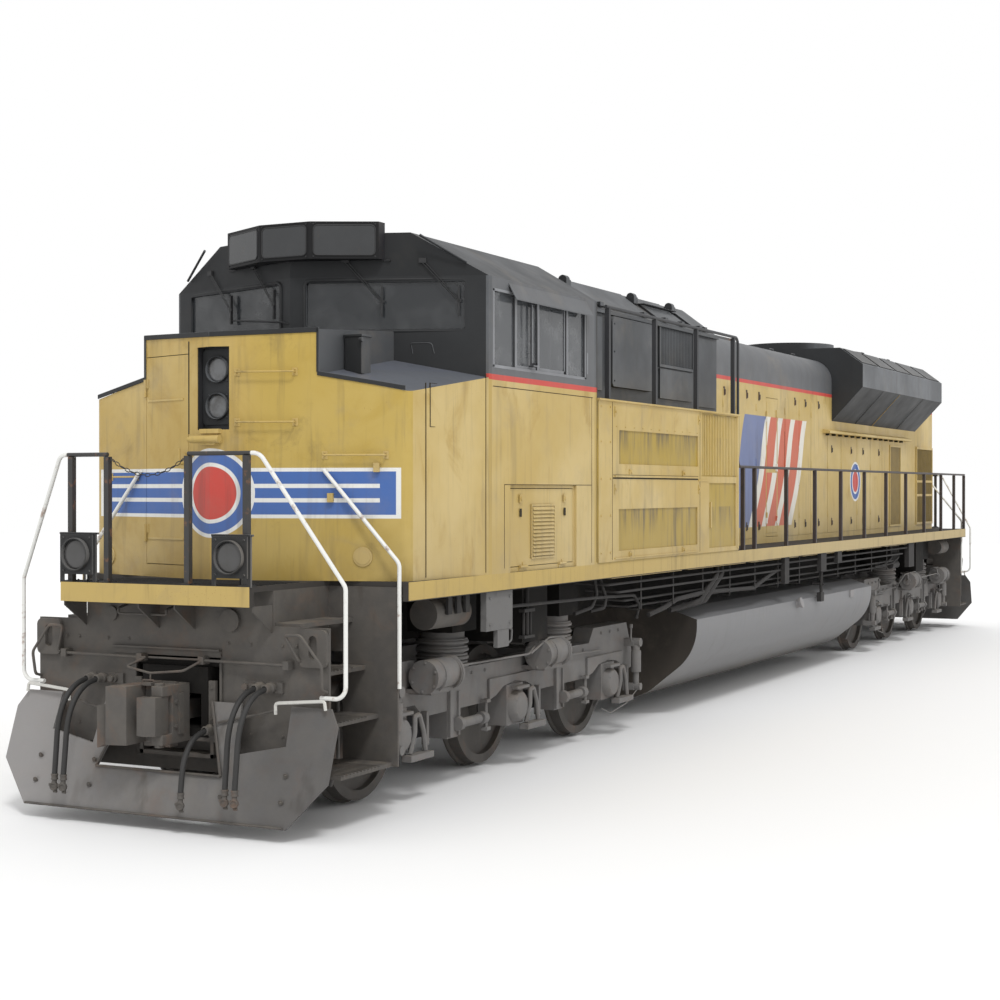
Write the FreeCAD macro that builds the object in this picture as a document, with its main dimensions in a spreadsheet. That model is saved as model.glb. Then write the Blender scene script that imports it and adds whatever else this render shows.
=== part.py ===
import FreeCAD, Part
import math
import os
import re

import Sketcher

# A six-axle diesel freight locomotive, in millimetres.
# +Z is up, the cab end looks along -Y, and the origin is under the middle of the
# locomotive, level with the lowest point of the wheel flanges.

Vector = FreeCAD.Vector
doc = FreeCAD.newDocument("Locomotive")

# alias, value (mm, or degrees where it says so), what it is
SIZES = [
    # running gear
    ("flangeDepth", 28, "wheel flange below the tread"),
    ("flangeWidth", 33, "wheel flange along the axle"),
    ("wheelRadius", 533.5, "tread radius"),
    ("wheelInner", 680, "inner face of a wheel, from the centre line"),
    ("wheelWidth", 140, "rim width"),
    ("rimDepth", 78, "rim thickness under the tread"),
    ("webThickness", 36, "wheel web"),
    ("webInner", "wheelInner + 52", "inner face of the wheel web"),
    ("hubRadius", 170, "wheel hub"),
    ("hubReach", 30, "hub beyond the rim, each side"),
    ("axleRadius", 110, "axle between the wheels"),
    ("journalRadius", 82, "axle end in its bearing"),
    ("journalEnd", "wheelInner + 405", "axle end, from the centre line"),
    ("journalGap", 0.4, "running gap round a journal"),
    ("journalStart", "wheelInner + 182", "inner end of a bearing box"),
    ("truckCentre", "sillEnd - 2630", "truck pivot from the middle"),
    ("axleSpacing", 2120, "between axles in a truck"),
    ("sideFrameInner", "wheelInner + 250", "truck side frame, inner face"),
    ("sideFrameOuter", "sideFrameInner + 200", "truck side frame, outer face"),
    ("sideFrameEnd", 2540, "side frame end towards the coupler, from the pivot"),
    ("sideFrameTail", 2800, "side frame end towards the fuel tank, from the pivot"),
    ("sideFrameTop", "wheelRadius + 451.5", "side frame top"),
    ("sideFrameBase", "wheelRadius + 116.5", "side frame underside between axles"),
    ("crownTop", "sideFrameTop + 140", "raised ends of the side frame"),
    ("crownReach", 420, "start of the raised end, from the outer axle"),
    ("archHalf", 480, "half the width of the arch over an axle"),
    ("archTop", "wheelRadius + 226.5", "arch over an axle"),
    ("legPlace", 1240, "leg of the side frame, from the axle beyond it"),
    ("legWidth", 190, "leg of the side frame"),
    ("legBase", "wheelRadius - 117.5", "foot of the leg"),
    ("boxHalf", 165, "half the width of a bearing box"),
    ("transomHalf", 230, "half the width of a truck cross beam"),
    ("transomBase", "sideFrameTop - 100", "underside of the truck cross beams"),
    ("bolsterHalf", 330, "half the width of the truck centre beam"),
    ("bolsterTop", "2 * wheelRadius + 38", "top of the truck centre beam"),
    ("centrePlateRadius", 330, "centre bearing"),
    ("bearingHeight", "bolsterTop + 45", "level of the centre bearing"),
    ("kingPinRadius", 170, "king pin"),
    ("kingPinBase", "bearingHeight - 220", "bottom of the king pin"),
    ("pinGap", 0.4, "running gap round pins"),
    ("hingeRadius", 12, "door hinge barrels"),
    ("hingeHalf", 70, "half the length of a door hinge"),
    ("hingeLeaf", 6, "door hinge leaves"),
    ("hingeSink", 2, "depth that a hinge leaf is let in"),
    ("hingeLeafWidth", 36, "door hinge leaves"),
    ("doorThickness", 40, "doors"),
    ("seatGap", 0.3, "gap where one body rests on another"),
    ("springRadius", 190, "rubber secondary spring"),
    ("springPlateRadius", 215, "steel plates of the spring"),
    ("springOffset", 1060, "spring from the pivot"),
    ("springTop", "sideFrameTop + 315", "top of the secondary springs"),
    ("springPlace", "sideFrameInner + 55", "secondary spring, from the centre line"),
    ("springGap", 6, "gap above the secondary springs"),
    ("cylinderRadius", 125, "brake cylinder"),
    ("cylinderLength", 410, "brake cylinder"),
    ("cylinderHeight", "sideFrameTop + 33", "brake cylinder centre"),
    ("cylinderPlace", "sideFrameOuter + 170", "brake cylinder centre, from the centre line"),
    ("brakeShift", 185, "brake cylinder, from its axle"),
    ("motorHalf", "wheelInner - 210", "half the width of a traction motor"),
    ("motorReach", "axleSpacing / 2 - 170", "traction motor end, from its axle"),
    ("motorNose", 55, "motor hanger"),
    ("motorStart", 185, "traction motor body, from its axle"),
    ("motorBase", "wheelRadius - 233.5", "traction motor underside"),
    ("motorTop", "wheelRadius + 316.5", "traction motor top"),
    ("motorGap", 6, "gap between motor and axle"),
    # underframe
    ("sillHalfWidth", 1560, "side sill, outer face"),
    ("sillThickness", 60, "side sill"),
    ("sillDepth", 145, "side sill height"),
    ("sillEnd", "platformEnd - 1080", "end of the side sills"),
    ("deckTop", "bearingHeight + 650", "walkway level"),
    ("deckPlate", 40, "walkway plate"),
    ("platformEnd", 11110, "end platform edge"),
    ("platformHalfWidth", 860, "end platform"),
    ("centreSillHalf", 420, "centre sill"),
    ("centreSillBase", "deckTop - 620", "centre sill underside"),
    ("webPlate", 40, "centre sill webs"),
    ("bolsterReach", "sillHalfWidth - 210", "body bolster, each side"),
    ("bodyBolsterHalf", 260, "half the width of a body bolster"),
    ("pocketHalf", 300, "coupler pocket, outside"),
    ("pocketHeight", 190, "coupler pocket, each way from the coupler centre"),
    ("pocketWall", 60, "coupler pocket wall"),
    ("pocketStart", "couplerPivot - 350", "inner end of the coupler pocket"),
    ("pocketEnd", "pilotPlane + 35", "mouth of the coupler pocket"),
    # couplers
    ("couplerHeight", 850, "coupler centre line"),
    ("couplerPivot", "couplerEnd - 1050", "coupler pivot from the middle"),
    ("couplerEnd", "platformEnd + 190", "pulling face of the coupler"),
    ("shankHalf", 75, "half of the coupler shank, square"),
    ("couplerPinRadius", 55, "coupler pivot pin"),
    ("couplerHeadHalf", 215, "half of the coupler head height"),
    ("couplerHeadDepth", 420, "coupler head"),
    ("headHalf", 170, "half of the coupler head width"),
    ("guardInner", 70, "throat of the coupler head"),
    ("knuckleDepth", 210, "depth of the coupler throat"),
    ("knuckleSet", 130, "knuckle pin behind the pulling face"),
    ("knucklePlace", 115, "knuckle pin, from the coupler centre line"),
    ("knucklePinRadius", 21, "knuckle pin"),
    ("knuckleHalf", 140, "half of the knuckle height"),
    # pilots, steps and ploughs
    ("pilotPlane", "platformEnd - 310", "pilot plate, outer face"),
    ("pilotPlate", 25, "pilot plate"),
    ("pilotHalfWidth", "sillHalfWidth - 225", "pilot plate"),
    ("pilotBase", 560, "pilot plate, lower edge"),
    ("pilotMouthHalf", 390, "coupler opening in the pilot"),
    ("pilotMouthTop", "deckTop - 510", "coupler opening, top"),
    ("pilotShoulder", "deckTop - 300", "pilot plate beside the platform"),
    ("stepOuter", "sillHalfWidth - 140", "outer edge of the lowest step"),
    ("stepWall", 20, "step well plates"),
    ("stepRise", "(deckTop - stepBase) / 3.86", "from one step to the next"),
    ("stepLean", 115, "each step further in than the one below"),
    ("stepPost", 50, "step well post beyond the lowest step"),
    ("stepBase", 410, "lowest step level"),
    ("treadPlate", 32, "step tread"),
    ("wheelClear", 68, "step plates ahead of the sill end, beside the wheel"),
    ("wellInner", "wheelInner + wheelWidth + 165", "step plates beside the wheel, inner edge"),
    ("wellTopBase", "2 * wheelRadius + 193", "step plates above the wheel"),
    ("ploughBase", 100, "lower edge of the plough"),
    ("ploughTop", 930, "upper edge of the plough"),
    ("ploughPlate", 20, "plough plate"),
    ("ploughBracketInner", 560, "plough bracket"),
    ("ploughBracketOuter", 1150, "plough bracket"),
    ("ploughTopPlane", "pilotPlane + 60", "plough upper edge, from the middle"),
    ("ploughBasePlane", "pilotPlane + 350", "plough lower edge, from the middle"),
    ("ploughTopHalf", "sillHalfWidth - 90", "plough upper edge"),
    ("ploughBaseHalf", "ploughTopHalf - 290", "plough lower edge"),
    ("ploughCornerHeight", 430, "plough corner height"),
    ("ploughMouthHalf", 570, "opening below the coupler, lower edge"),
    ("ploughMouthBase", 420, "opening below the coupler"),
    ("ploughNotchBase", 575, "notches beside the opening"),
    # fuel tank
    ("tankFront", "truckCentre - 3900", "tank front end, ahead of the middle"),
    ("tankRear", "truckCentre - 3500", "tank rear end, behind the middle"),
    ("tankHalf", "sillHalfWidth - 110", "tank side"),
    ("tankTop", "centreSillBase - 100", "tank shoulder"),
    ("tankSideBase", 720, "tank side, lower edge"),
    ("tankBase", 180, "tank underside"),
    ("tankBaseHalf", "tankHalf - 670", "tank underside"),
    ("tankRoofHalf", "tankHalf - 300", "tank roof"),
    ("tankRound", 600, "tank lower corner radius"),
    # nose
    ("noseTip", "sillEnd + 370", "nose centre ridge"),
    ("noseCorner", "noseTip - 480", "nose corner"),
    ("noseHalf", "sillHalfWidth - 60", "nose corner, from the centre line"),
    ("noseTopZ", "deckTop + 1900", "nose hump"),
    ("noseShoulderHalf", 820, "nose hump"),
    ("noseShoulderIn", "noseTopZ - 375", "shoulder level beside the hump"),
    ("noseShoulderOut", "noseShoulderIn - 213", "shoulder level at the corner"),
    ("shoulderRise", 300, "rise of the shoulder towards the cab"),
    ("humpRise", 130, "rise of the hump towards the cab"),
    ("noseRound", 90, "nose corners"),
    ("noseWall", 50, "nose plating"),
    ("noseDoorInner", 270, "nose door edge nearest the middle"),
    ("noseDoorOuter", 850, "nose door hinge edge"),
    ("noseDoorBase", "deckTop + 100", "nose door, lower edge"),
    ("noseDoorTop", "noseTopZ - 140", "nose door, upper edge"),
    ("doorGap", 6, "gap round doors"),
    ("lampHalf", 150, "headlamp recess"),
    ("lampBase", "lampTop - 640", "headlamp recess, lower edge"),
    ("lampTop", "noseTopZ - 100", "headlamp recess, upper edge"),
    ("lampDepth", 90, "headlamp recess"),
    ("lampBoxWall", 20, "plates round the headlamp recess"),
    ("lampRadius", 95, "headlamp"),
    ("lampStand", 45, "headlamp face behind the ridge"),
    ("lampLow", "lampBase + 183", "lower headlamp"),
    ("lampHigh", "lampTop - 172", "upper headlamp"),
    ("ditchPlace", 700, "ditch lamp, from the centre line"),
    ("ditchHalf", 150, "half of the ditch lamp box"),
    ("ditchPlane", "platformEnd + 35", "ditch lamp box, front face"),
    ("ditchDepth", 65, "ditch lamp box"),
    ("ditchStand", 60, "ditch lamp above the platform"),
    ("ditchRim", 20, "ditch lamp rim"),
    # cab
    ("cabFront", "cabRidge - 560", "cab side wall, front edge"),
    ("cabRidge", "noseTip - 1120", "windscreen centre ridge"),
    ("cabRear", "cabFront - 2230", "cab rear wall, outer face"),
    ("cabWall", 60, "cab walls"),
    ("cabEaves", "deckTop + 2450", "cab side wall top"),
    ("cabRoofTop", "cabEaves + 360", "cab roof"),
    ("cabRoofHalf", "sillHalfWidth - 610", "flat of the cab roof"),
    ("cabFloorTop", "deckTop + 500", "cab floor"),
    ("cabFloorPlate", 50, "cab floor"),
    ("screenInner", 120, "windscreen edge nearest the middle"),
    ("screenOuter", "sillHalfWidth - 185", "windscreen outer edge"),
    ("screenBase", "screenTop - 390", "windscreen, lower edge"),
    ("screenTop", "cabEaves - 45", "windscreen, upper edge"),
    ("glassThickness", 12, "glazing"),
    ("sideWindowFront", "cabFront - 80", "side window, front edge"),
    ("sideWindowRear", "cabRear + 250", "side window, rear edge"),
    ("sideWindowBase", "sideWindowTop - 640", "side window, lower edge"),
    ("sideWindowTop", "cabEaves - 100", "side window, upper edge"),
    ("visorReach", 70, "sun visor, out from the cab side"),
    ("visorPlate", 12, "sun visor"),
    ("visorDrop", 150, "sun visor, from its root to its edge"),
    ("hatchFront", "cabFront - 430", "battery hatch, front edge"),
    ("hatchRear", "cabRear + 500", "battery hatch, rear edge"),
    ("hatchBase", "deckTop + 40", "battery hatch, lower edge"),
    ("hatchTop", "hatchBase + 670", "battery hatch, upper edge"),
    ("hatchFrame", 30, "recess round the battery hatch"),
    ("cabDoorInner", "cabDoorOuter - 440", "cab door edge nearest the middle"),
    ("cabDoorOuter", "sillHalfWidth - 120", "cab door hinge edge"),
    ("cabDoorTop", "cabEaves - 170", "cab door, upper edge"),
    ("bulkheadDoorHalf", 330, "doorway into the nose"),
    ("bulkheadDoorTop", "noseTopZ - 50", "doorway into the nose, top"),
    ("seatPlace", 900, "seats and desks, from the centre line"),
    ("seatHalf", 250, "half the width of a seat"),
    ("seatBack", "cabRear + 660", "rear of the seats"),
    ("seatHeight", 480, "seat cushion above the floor"),
    ("seatPad", 110, "seat cushions"),
    ("seatTop", 1150, "top of the backrest above the floor"),
    ("deskFront", "cabFront - 270", "front of the desks"),
    ("deskRear", "deskFront - 400", "rear of the desks"),
    ("deskHalf", 350, "half the width of a desk"),
    ("deskLow", 750, "desk height at the rear"),
    ("deskHigh", 1150, "desk height at the front"),
    ("boardHalf", 750, "number board housing"),
    ("boardCentreHalf", 245, "number board housing, flat front"),
    ("boardFront", "cabRidge + 90", "number board housing, flat front"),
    ("boardCorner", "cabRidge - 170", "number board housing, outer corner"),
    ("boardBase", "screenTop + 180", "number board housing, underside"),
    ("boardTop", "boardBase + 305", "number board housing, top"),
    # hoods
    ("cabinetRear", "cabRear - 4040", "electrical cabinet, rear face"),
    ("cabinetTop", "deckTop + 1550", "electrical cabinet"),
    ("cabinetWall", 50, "cabinet and hood plating"),
    ("housingHalf", "sillHalfWidth - 260", "equipment housing, left side"),
    ("housingEaves", "deckTop + 2460", "equipment housing"),
    ("housingTop", "housingEaves + 300", "equipment housing roof"),
    ("housingRoofHalf", "housingHalf - 400", "flat of the housing roof"),
    ("hoodHalf", 970, "engine hood"),
    ("hoodTop", "deckTop + 2600", "engine hood roof"),
    ("hoodRound", 330, "radius of the hood's upper edges"),
    ("hoodRear", "sillEnd - 30", "rear face of the hood"),
    ("hoodWall", 50, "hood plating"),
    ("engineDoorFront", "2850 - cabinetRear", "engine door front edge, behind the middle"),
    ("engineDoorRear", "engineDoorFront + 500", "engine door rear edge, behind the middle"),
    ("engineDoorBase", "deckTop + 80", "engine door, lower edge"),
    ("engineDoorTop", "hoodTop - 700", "engine door, upper edge"),
    ("radiatorFront", "radiatorRear - 2 * (fanPitch + fanMargin)", "radiator front face"),
    ("radiatorRear", "hoodRear - 1320", "radiator rear face"),
    ("radiatorRoot", "hoodTop - 900", "radiator underside at the hood"),
    ("radiatorHalf", "sillHalfWidth - 130", "radiator side"),
    ("radiatorRootHalf", "hoodHalf", "radiator underside at the hood"),
    ("radiatorSideBase", "radiatorRoot + 490", "radiator side, lower edge"),
    ("radiatorSideTop", "radiatorSideBase + 330", "radiator side, upper edge"),
    ("radiatorRoofHalf", "radiatorHalf - 340", "radiator roof"),
    ("radiatorTop", "hoodTop + 170", "radiator roof"),
    ("fanRadius", 640, "radiator fan"),
    ("fanHubRadius", 150, "radiator fan hub"),
    ("fanDepth", 120, "radiator fan"),
    ("bridgeDepth", 60, "beam under a fan"),
    ("fanBase", "radiatorTop - 90", "radiator fan underside"),
    ("fanRing", 40, "radiator fan ring"),
    ("fanRingTop", "radiatorTop + 130", "radiator fan ring"),
    ("fanFirst", "radiatorFront + fanMargin", "first radiator fan"),
    ("fanPitch", "2 * (fanRadius + fanTipGap + fanRing) + 220", "between radiator fans"),
    ("fanTipGap", 15, "gap round a fan"),
    ("fanMargin", 985, "end fans, from the radiator's ends"),
    # engine
    ("engineHalf", 560, "engine block"),
    ("engineFront", "cabinetRear - 550", "engine front end, ahead of the middle"),
    ("engineRear", "hoodRear - 7000", "engine rear end, behind the middle"),
    ("engineTop", "hoodTop - 900", "engine block"),
    # handrails and pipes
    ("railRadius", 16, "handrail"),
    ("railTop", "deckTop + 960", "handrail height"),
    ("postWidth", 44, "stanchion"),
    ("railPlace", "sillHalfWidth - 20", "side handrail"),
    ("railBend", 90, "handrail bends"),
    ("railFront", "cabinetRear - 50", "left handrail's drop from the cabinet, ahead of the middle"),
    ("rightRailFront", "cabRear - 490", "right handrail's front end, ahead of the middle"),
    ("railRear", "sillEnd - 20", "side handrails, rear end"),
    ("firstPost", "655 - cabinetRear", "first of the even side posts"),
    ("postPitch", "(railRear - firstPost) / 9.52", "between side posts"),
    ("upperPitch", "(cabinetRear - cabRear + 300) / -3.1", "between the posts over the cabinet"),
    ("upperRail", "housingEaves - 30", "handrail over the cabinet"),
    ("endPostOuter", 800, "outer end posts"),
    ("endPostInner", 457, "inner end post on the engineer's side"),
    ("endPostGap", 283, "inner end post on the other side"),
    ("grabBase", 1000, "lower end of the step grab rails"),
    ("grabTop", "deckTop + 850", "upper end of the step grab rails"),
    ("grabTurn", "deckTop + 140", "bend of the step grab rails"),
    ("noseSlope", "(noseTip - noseCorner) / noseHalf", "slope of the nose facets"),
    ("reservoirRadius", 125, "air reservoir"),
    ("reservoirPlace", "sillHalfWidth - 270", "air reservoir, from the centre line"),
    ("reservoirHeight", "deckTop - 295", "air reservoir"),
    ("reservoirStart", "truckCentre + 1340", "air reservoir, end nearest the middle"),
    ("reservoirEnd", "sillEnd - 700", "air reservoir, outer end"),
    ("stackHalf", 240, "exhaust stack"),
    ("stackFront", "2650 - cabinetRear", "exhaust stack, front face"),
    ("stackRear", "stackFront + 1100", "exhaust stack, rear face"),
    ("stackHeight", 150, "exhaust stack above the hood"),
    ("hoseRadius", 21, "train line hoses"),
    ("portRadius", 30, "hose ports"),
    ("portReach", 50, "hose ports, out from the pilot"),
    ("manifoldHalf", 170, "half the width of a hose manifold"),
    ("manifoldDepth", 25, "hose manifold"),
    ("handLength", 210, "hose end fitting"),
    ("handHalf", 26, "half the thickness of a hose end fitting"),
]

sheet = doc.addObject("Spreadsheet::Sheet", "Sizes")
for row, (alias, amount, note) in enumerate(SIZES, 1):
    sheet.set(f"A{row}", note)
    sheet.setAlias(f"B{row}", alias)
for row, (alias, amount, note) in enumerate(SIZES, 1):
    sheet.set(f"B{row}", f"={amount}" if isinstance(amount, str) else str(amount))
doc.recompute()


def size(alias):
    return float(getattr(sheet, alias))


ALIAS = re.compile(r"\b[A-Za-z]\w*\b(?!\()")


def bind(item, prop, text):
    """Bind a property to an expression in which each word is an alias of the sheet."""
    item.setExpression(prop, ALIAS.sub(lambda word: "Sizes." + word.group(), text))


def flip(span):
    """The mirror image of a span about zero."""
    low, high = span
    return f"-({high})", f"-({low})"


def middle(place, half):
    """A span about a place."""
    return f"{place} - ({half})", f"{place} + ({half})"


def sided(side, span):
    return span if side > 0 else flip(span)


def block(name, xs, ys, zs):
    """A box between two planes along each axis."""
    item = doc.addObject("Part::Box", name)
    for prop, axis, (low, high) in zip(("Length", "Width", "Height"), "xyz", (xs, ys, zs)):
        bind(item, prop, f"({high}) - ({low})")
        bind(item, f"Placement.Base.{axis}", low)
    return item


TURNS = {"x": ((0, 1, 0), 90), "y": ((1, 0, 0), -90), "z": ((0, 0, 1), 0)}


def rod(name, along, span, centre, radius):
    """A round bar along an axis; centre gives its two other coordinates in X, Y, Z order."""
    item = doc.addObject("Part::Cylinder", name)
    axis, angle = TURNS[along]
    item.Placement.Rotation = FreeCAD.Rotation(Vector(*axis), angle)
    bind(item, "Radius", radius)
    bind(item, "Height", f"({span[1]}) - ({span[0]})")
    others = [letter for letter in "xyz" if letter != along]
    bind(item, f"Placement.Base.{along}", span[0])
    for letter, text in zip(others, centre):
        bind(item, f"Placement.Base.{letter}", text)
    return item


def outline(body, name, plane, corners):
    """A closed sketch of straight lines whose corners are bound to the sheet."""
    sketch = body.newObject("Sketcher::SketchObject", name)
    support = [item for item in body.Origin.OriginFeatures if item.Role == plane + "_Plane"][0]
    sketch.AttachmentSupport = (support, [""])
    sketch.MapMode = "FlatFace"
    count = len(corners)
    spots = [Vector(10 * math.cos(6.28 * i / count), 10 * math.sin(6.28 * i / count), 0)
             for i in range(count)]
    for i in range(count):
        sketch.addGeometry(Part.LineSegment(spots[i], spots[(i + 1) % count]), False)
    for i in range(count):
        sketch.addConstraint(Sketcher.Constraint("Coincident", i, 2, (i + 1) % count, 1))
    for i, (across, up) in enumerate(corners):
        for kind, start, text in (("DistanceX", spots[i].x, across), ("DistanceY", spots[i].y, up)):
            index = sketch.addConstraint(Sketcher.Constraint(kind, -1, 1, i, 1, start))
            sketch.renameConstraint(index, f"{kind[-1]}{i}")
            bind(sketch, f"Constraints.{kind[-1]}{i}", text)
    return sketch


def prism(name, plane, corners, span):
    """A pad of an outline between two planes along the axis that the outline lies across."""
    body = doc.addObject("PartDesign::Body", name)
    sketch = outline(body, name + "Outline", plane, corners)
    pad = body.newObject("PartDesign::Pad", name + "Pad")
    pad.Profile = sketch
    pad.Reversed = plane == "XZ"
    bind(pad, "Length", f"({span[1]}) - ({span[0]})")
    axis = {"XY": "z", "XZ": "y", "YZ": "x"}[plane]
    bind(body, f"Placement.Base.{axis}", span[0])
    return body


def turned(name, corners, centre):
    """A revolved body about a line along X; corners are (x, radius), centre is (y, z)."""
    body = doc.addObject("PartDesign::Body", name)
    sketch = outline(body, name + "Outline", "XY", corners)
    spin = body.newObject("PartDesign::Revolution", name + "Spin")
    spin.Profile = sketch
    spin.ReferenceAxis = (sketch, ["H_Axis"])
    spin.Angle = 360
    bind(body, "Placement.Base.y", centre[0])
    bind(body, "Placement.Base.z", centre[1])
    return body


def join(name, parts):
    if len(parts) == 1:
        return parts[0]
    item = doc.addObject("Part::MultiFuse", name)
    item.Shapes = parts
    return item


def cut(name, base, tools):
    item = doc.addObject("Part::Cut", name)
    item.Base = base
    item.Tool = join(name + "Tools", tools)
    return item


def mirrored(name, source, normal):
    item = doc.addObject("Part::Mirroring", name)
    item.Source = source
    item.Normal = Vector(*normal)
    return item


def group(name, parts):
    """Like solids that share a node."""
    item = doc.addObject("Part::Compound", name)
    item.Links = parts
    return item


def rounded(name, base, radius, wanted):
    """Fillet the edges of base that wanted picks by their middle point and direction."""
    doc.recompute()
    item = doc.addObject("Part::Fillet", name)
    item.Base = base
    picks = []
    for index, edge in enumerate(base.Shape.Edges, 1):
        ends = [vertex.Point for vertex in edge.Vertexes]
        if len(ends) == 2 and wanted((ends[0] + ends[1]) / 2, (ends[1] - ends[0]).normalize()):
            picks.append((index, radius, radius))
    item.Edges = picks
    return item


def bent_path(points, bends):
    """Straight runs joined by tangent arcs; bends gives the radius at each inner point."""
    edges = []
    last = points[0]
    for before, corner, after, radius in zip(points, points[1:], points[2:], bends):
        inward = (before - corner).normalize()
        outward = (after - corner).normalize()
        half_turn = (math.pi - inward.getAngle(outward)) / 2
        reach = radius * math.tan(half_turn)
        start = corner + inward * reach
        end = corner + outward * reach
        bisector = (inward + outward).normalize()
        peak = corner + bisector * (radius / math.cos(half_turn) - radius)
        if (start - last).Length > 0.001:
            edges.append(Part.LineSegment(last, start).toShape())
        edges.append(Part.Arc(start, peak, end).toShape())
        last = end
    edges.append(Part.LineSegment(last, points[-1]).toShape())
    return Part.Wire(edges)


def tube_shape(points, radius, bends):
    """A round bar along a bent path."""
    path = bent_path(points, bends)
    section = Part.Wire(Part.makeCircle(radius, points[0], points[1] - points[0]))
    return path.makePipeShell([section], True, False)


def feature(name, shape):
    item = doc.addObject("Part::Feature", name)
    item.Shape = shape
    return item


pieces = {}


def piece(node, item):
    """Give a finished sub-part its name."""
    item.Label = node
    pieces[node] = item
    return item


def inset(span, gap):
    low, high = span
    return f"{low} + {gap}", f"{high} - {gap}"


def sloping(name, corners, start, reach, drop):
    """A pad of a side outline, from start out to reach, that sinks by drop on the way."""
    body = doc.addObject("PartDesign::Body", name)
    sketch = outline(body, name + "Outline", "YZ", corners)
    bind(sketch, "AttachmentOffset.Base.z", start)
    pad = body.newObject("PartDesign::Pad", name + "Pad")
    pad.Profile = sketch
    pad.UseCustomVector = True
    pad.AlongSketchNormal = True
    pad.Direction = Vector(1, 0, 0)
    bind(pad, "Direction.z", f"-({drop}) / ({reach} - ({start}))")
    bind(pad, "Length", f"{reach} - ({start})")
    return body


def swung(name, parts, at, angle):
    """Parts drawn in a frame of their own, turned about the vertical and moved to at."""
    item = group(name, parts)
    bind(item, "Placement.Rotation.Angle", angle)
    item.Placement.Rotation.Axis = Vector(0, 0, 1)
    for axis, text in zip("xyz", at):
        bind(item, f"Placement.Base.{axis}", text)
    return item


def hinges(name, axes, out, way, surface, edge, spots):
    """Barrel hinges on a surface that faces out along its normal; the door lies on the
    way side of the edge. Gives the solids of the fixed halves and of the door's halves."""
    normal, across, along = axes
    fixed, moving = [], []
    for number, spot in enumerate(spots):
        halves = ((fixed, -way, (f"{spot} - hingeHalf", spot)),
                  (moving, way, (f"{spot} + seatGap", f"{spot} + hingeHalf")))
        for store, lean, run in halves:
            label = f"{name}{'Fixed' if store is fixed else 'Door'}{number}"
            spans = {along: run}
            face = (f"{surface} - {out} * hingeSink", f"{surface} + {out} * hingeLeaf")
            spans[normal] = face[::out]
            start = "hingeSink" if lean == way else "0"
            flat = (f"{edge} + {lean} * {start}", f"{edge} + {lean} * hingeLeafWidth")
            spans[across] = flat[::lean]
            leaf = block(label + "Leaf", spans["x"], spans["y"], spans["z"])
            centre = {normal: f"{surface} + {out} * hingeRadius", across: edge}
            others = [centre[letter] for letter in "xyz" if letter != along]
            barrel = rod(label + "Barrel", along, run, others, "hingeRadius")
            store.append(join(label, [leaf, barrel]))
    return fixed, moving


ENDS = (("front", -1), ("rear", 1))
SIDES = (("Left", 1), ("Right", -1))
UNDER_DECK = "deckTop - deckPlate"
ALL_X = ("-sillHalfWidth", "sillHalfWidth")


# underframe: deck, sills, bolsters, king pins and coupler pockets
frame_parts = [
    block("Deck", ALL_X, ("-sillEnd", "sillEnd"), (UNDER_DECK, "deckTop")),
    block("Platforms", ("-platformHalfWidth", "platformHalfWidth"),
          ("-platformEnd", "platformEnd"), (UNDER_DECK, "deckTop")),
    block("SillFloor", ("-centreSillHalf", "centreSillHalf"),
          ("-pilotPlane + pilotPlate", "pilotPlane - pilotPlate"),
          ("centreSillBase", "centreSillBase + webPlate")),
]
for label, side in SIDES:
    frame_parts.append(block("SideSill" + label,
                             sided(side, ("sillHalfWidth - sillThickness", "sillHalfWidth")),
                             ("-sillEnd", "sillEnd"), ("deckTop - sillDepth", "deckTop")))
    frame_parts.append(block("SillWeb" + label,
                             sided(side, ("centreSillHalf - webPlate", "centreSillHalf")),
                             ("-pilotPlane + pilotPlate", "pilotPlane - pilotPlate"),
                             ("centreSillBase", UNDER_DECK)))
for label, end in ENDS:
    frame_parts.append(block("PlatformEdge" + label, ("-platformHalfWidth", "platformHalfWidth"),
                             sided(end, ("platformEnd - sillThickness", "platformEnd")),
                             ("deckTop - sillDepth", "deckTop")))
    centre = f"{end} * truckCentre"
    frame_parts.append(block("BodyBolster" + label, ("-bolsterReach", "bolsterReach"),
                             middle(centre, "bodyBolsterHalf"), ("bearingHeight", UNDER_DECK)))
    frame_parts.append(rod("KingPin" + label, "z", ("kingPinBase", "bearingHeight"),
                           ("0", centre), "kingPinRadius"))
    for number, way in enumerate((-1, 1)):
        for side_label, side in SIDES:
            frame_parts.append(block(f"SpringPad{label}{number}{side_label}",
                                     middle(f"{side} * springPlace", "springPlateRadius"),
                                     middle(f"{centre} + {way} * springOffset", "springPlateRadius"),
                                     ("springTop + springGap", UNDER_DECK)))
    pocket = cut("CouplerPocket" + label,
                 block("PocketBlock" + label, ("-pocketHalf", "pocketHalf"),
                       sided(end, ("pocketStart", "pocketEnd")),
                       ("couplerHeight - pocketHeight", "centreSillBase")),
                 [block("PocketSpace" + label, ("-pocketHalf + pocketWall", "pocketHalf - pocketWall"),
                        sided(end, ("pocketStart + pocketWall", "pocketEnd + pocketWall")),
                        ("couplerHeight - pocketHeight + pocketWall",
                         "couplerHeight + pocketHeight - pocketWall"))])
    frame_parts.append(pocket)
    frame_parts.append(rod("CouplerPin" + label, "z",
                           ("couplerHeight - pocketHeight", "couplerHeight + pocketHeight"),
                           ("0", f"{end} * couplerPivot"), "couplerPinRadius"))
piece("underframe", join("Underframe", frame_parts))


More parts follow.
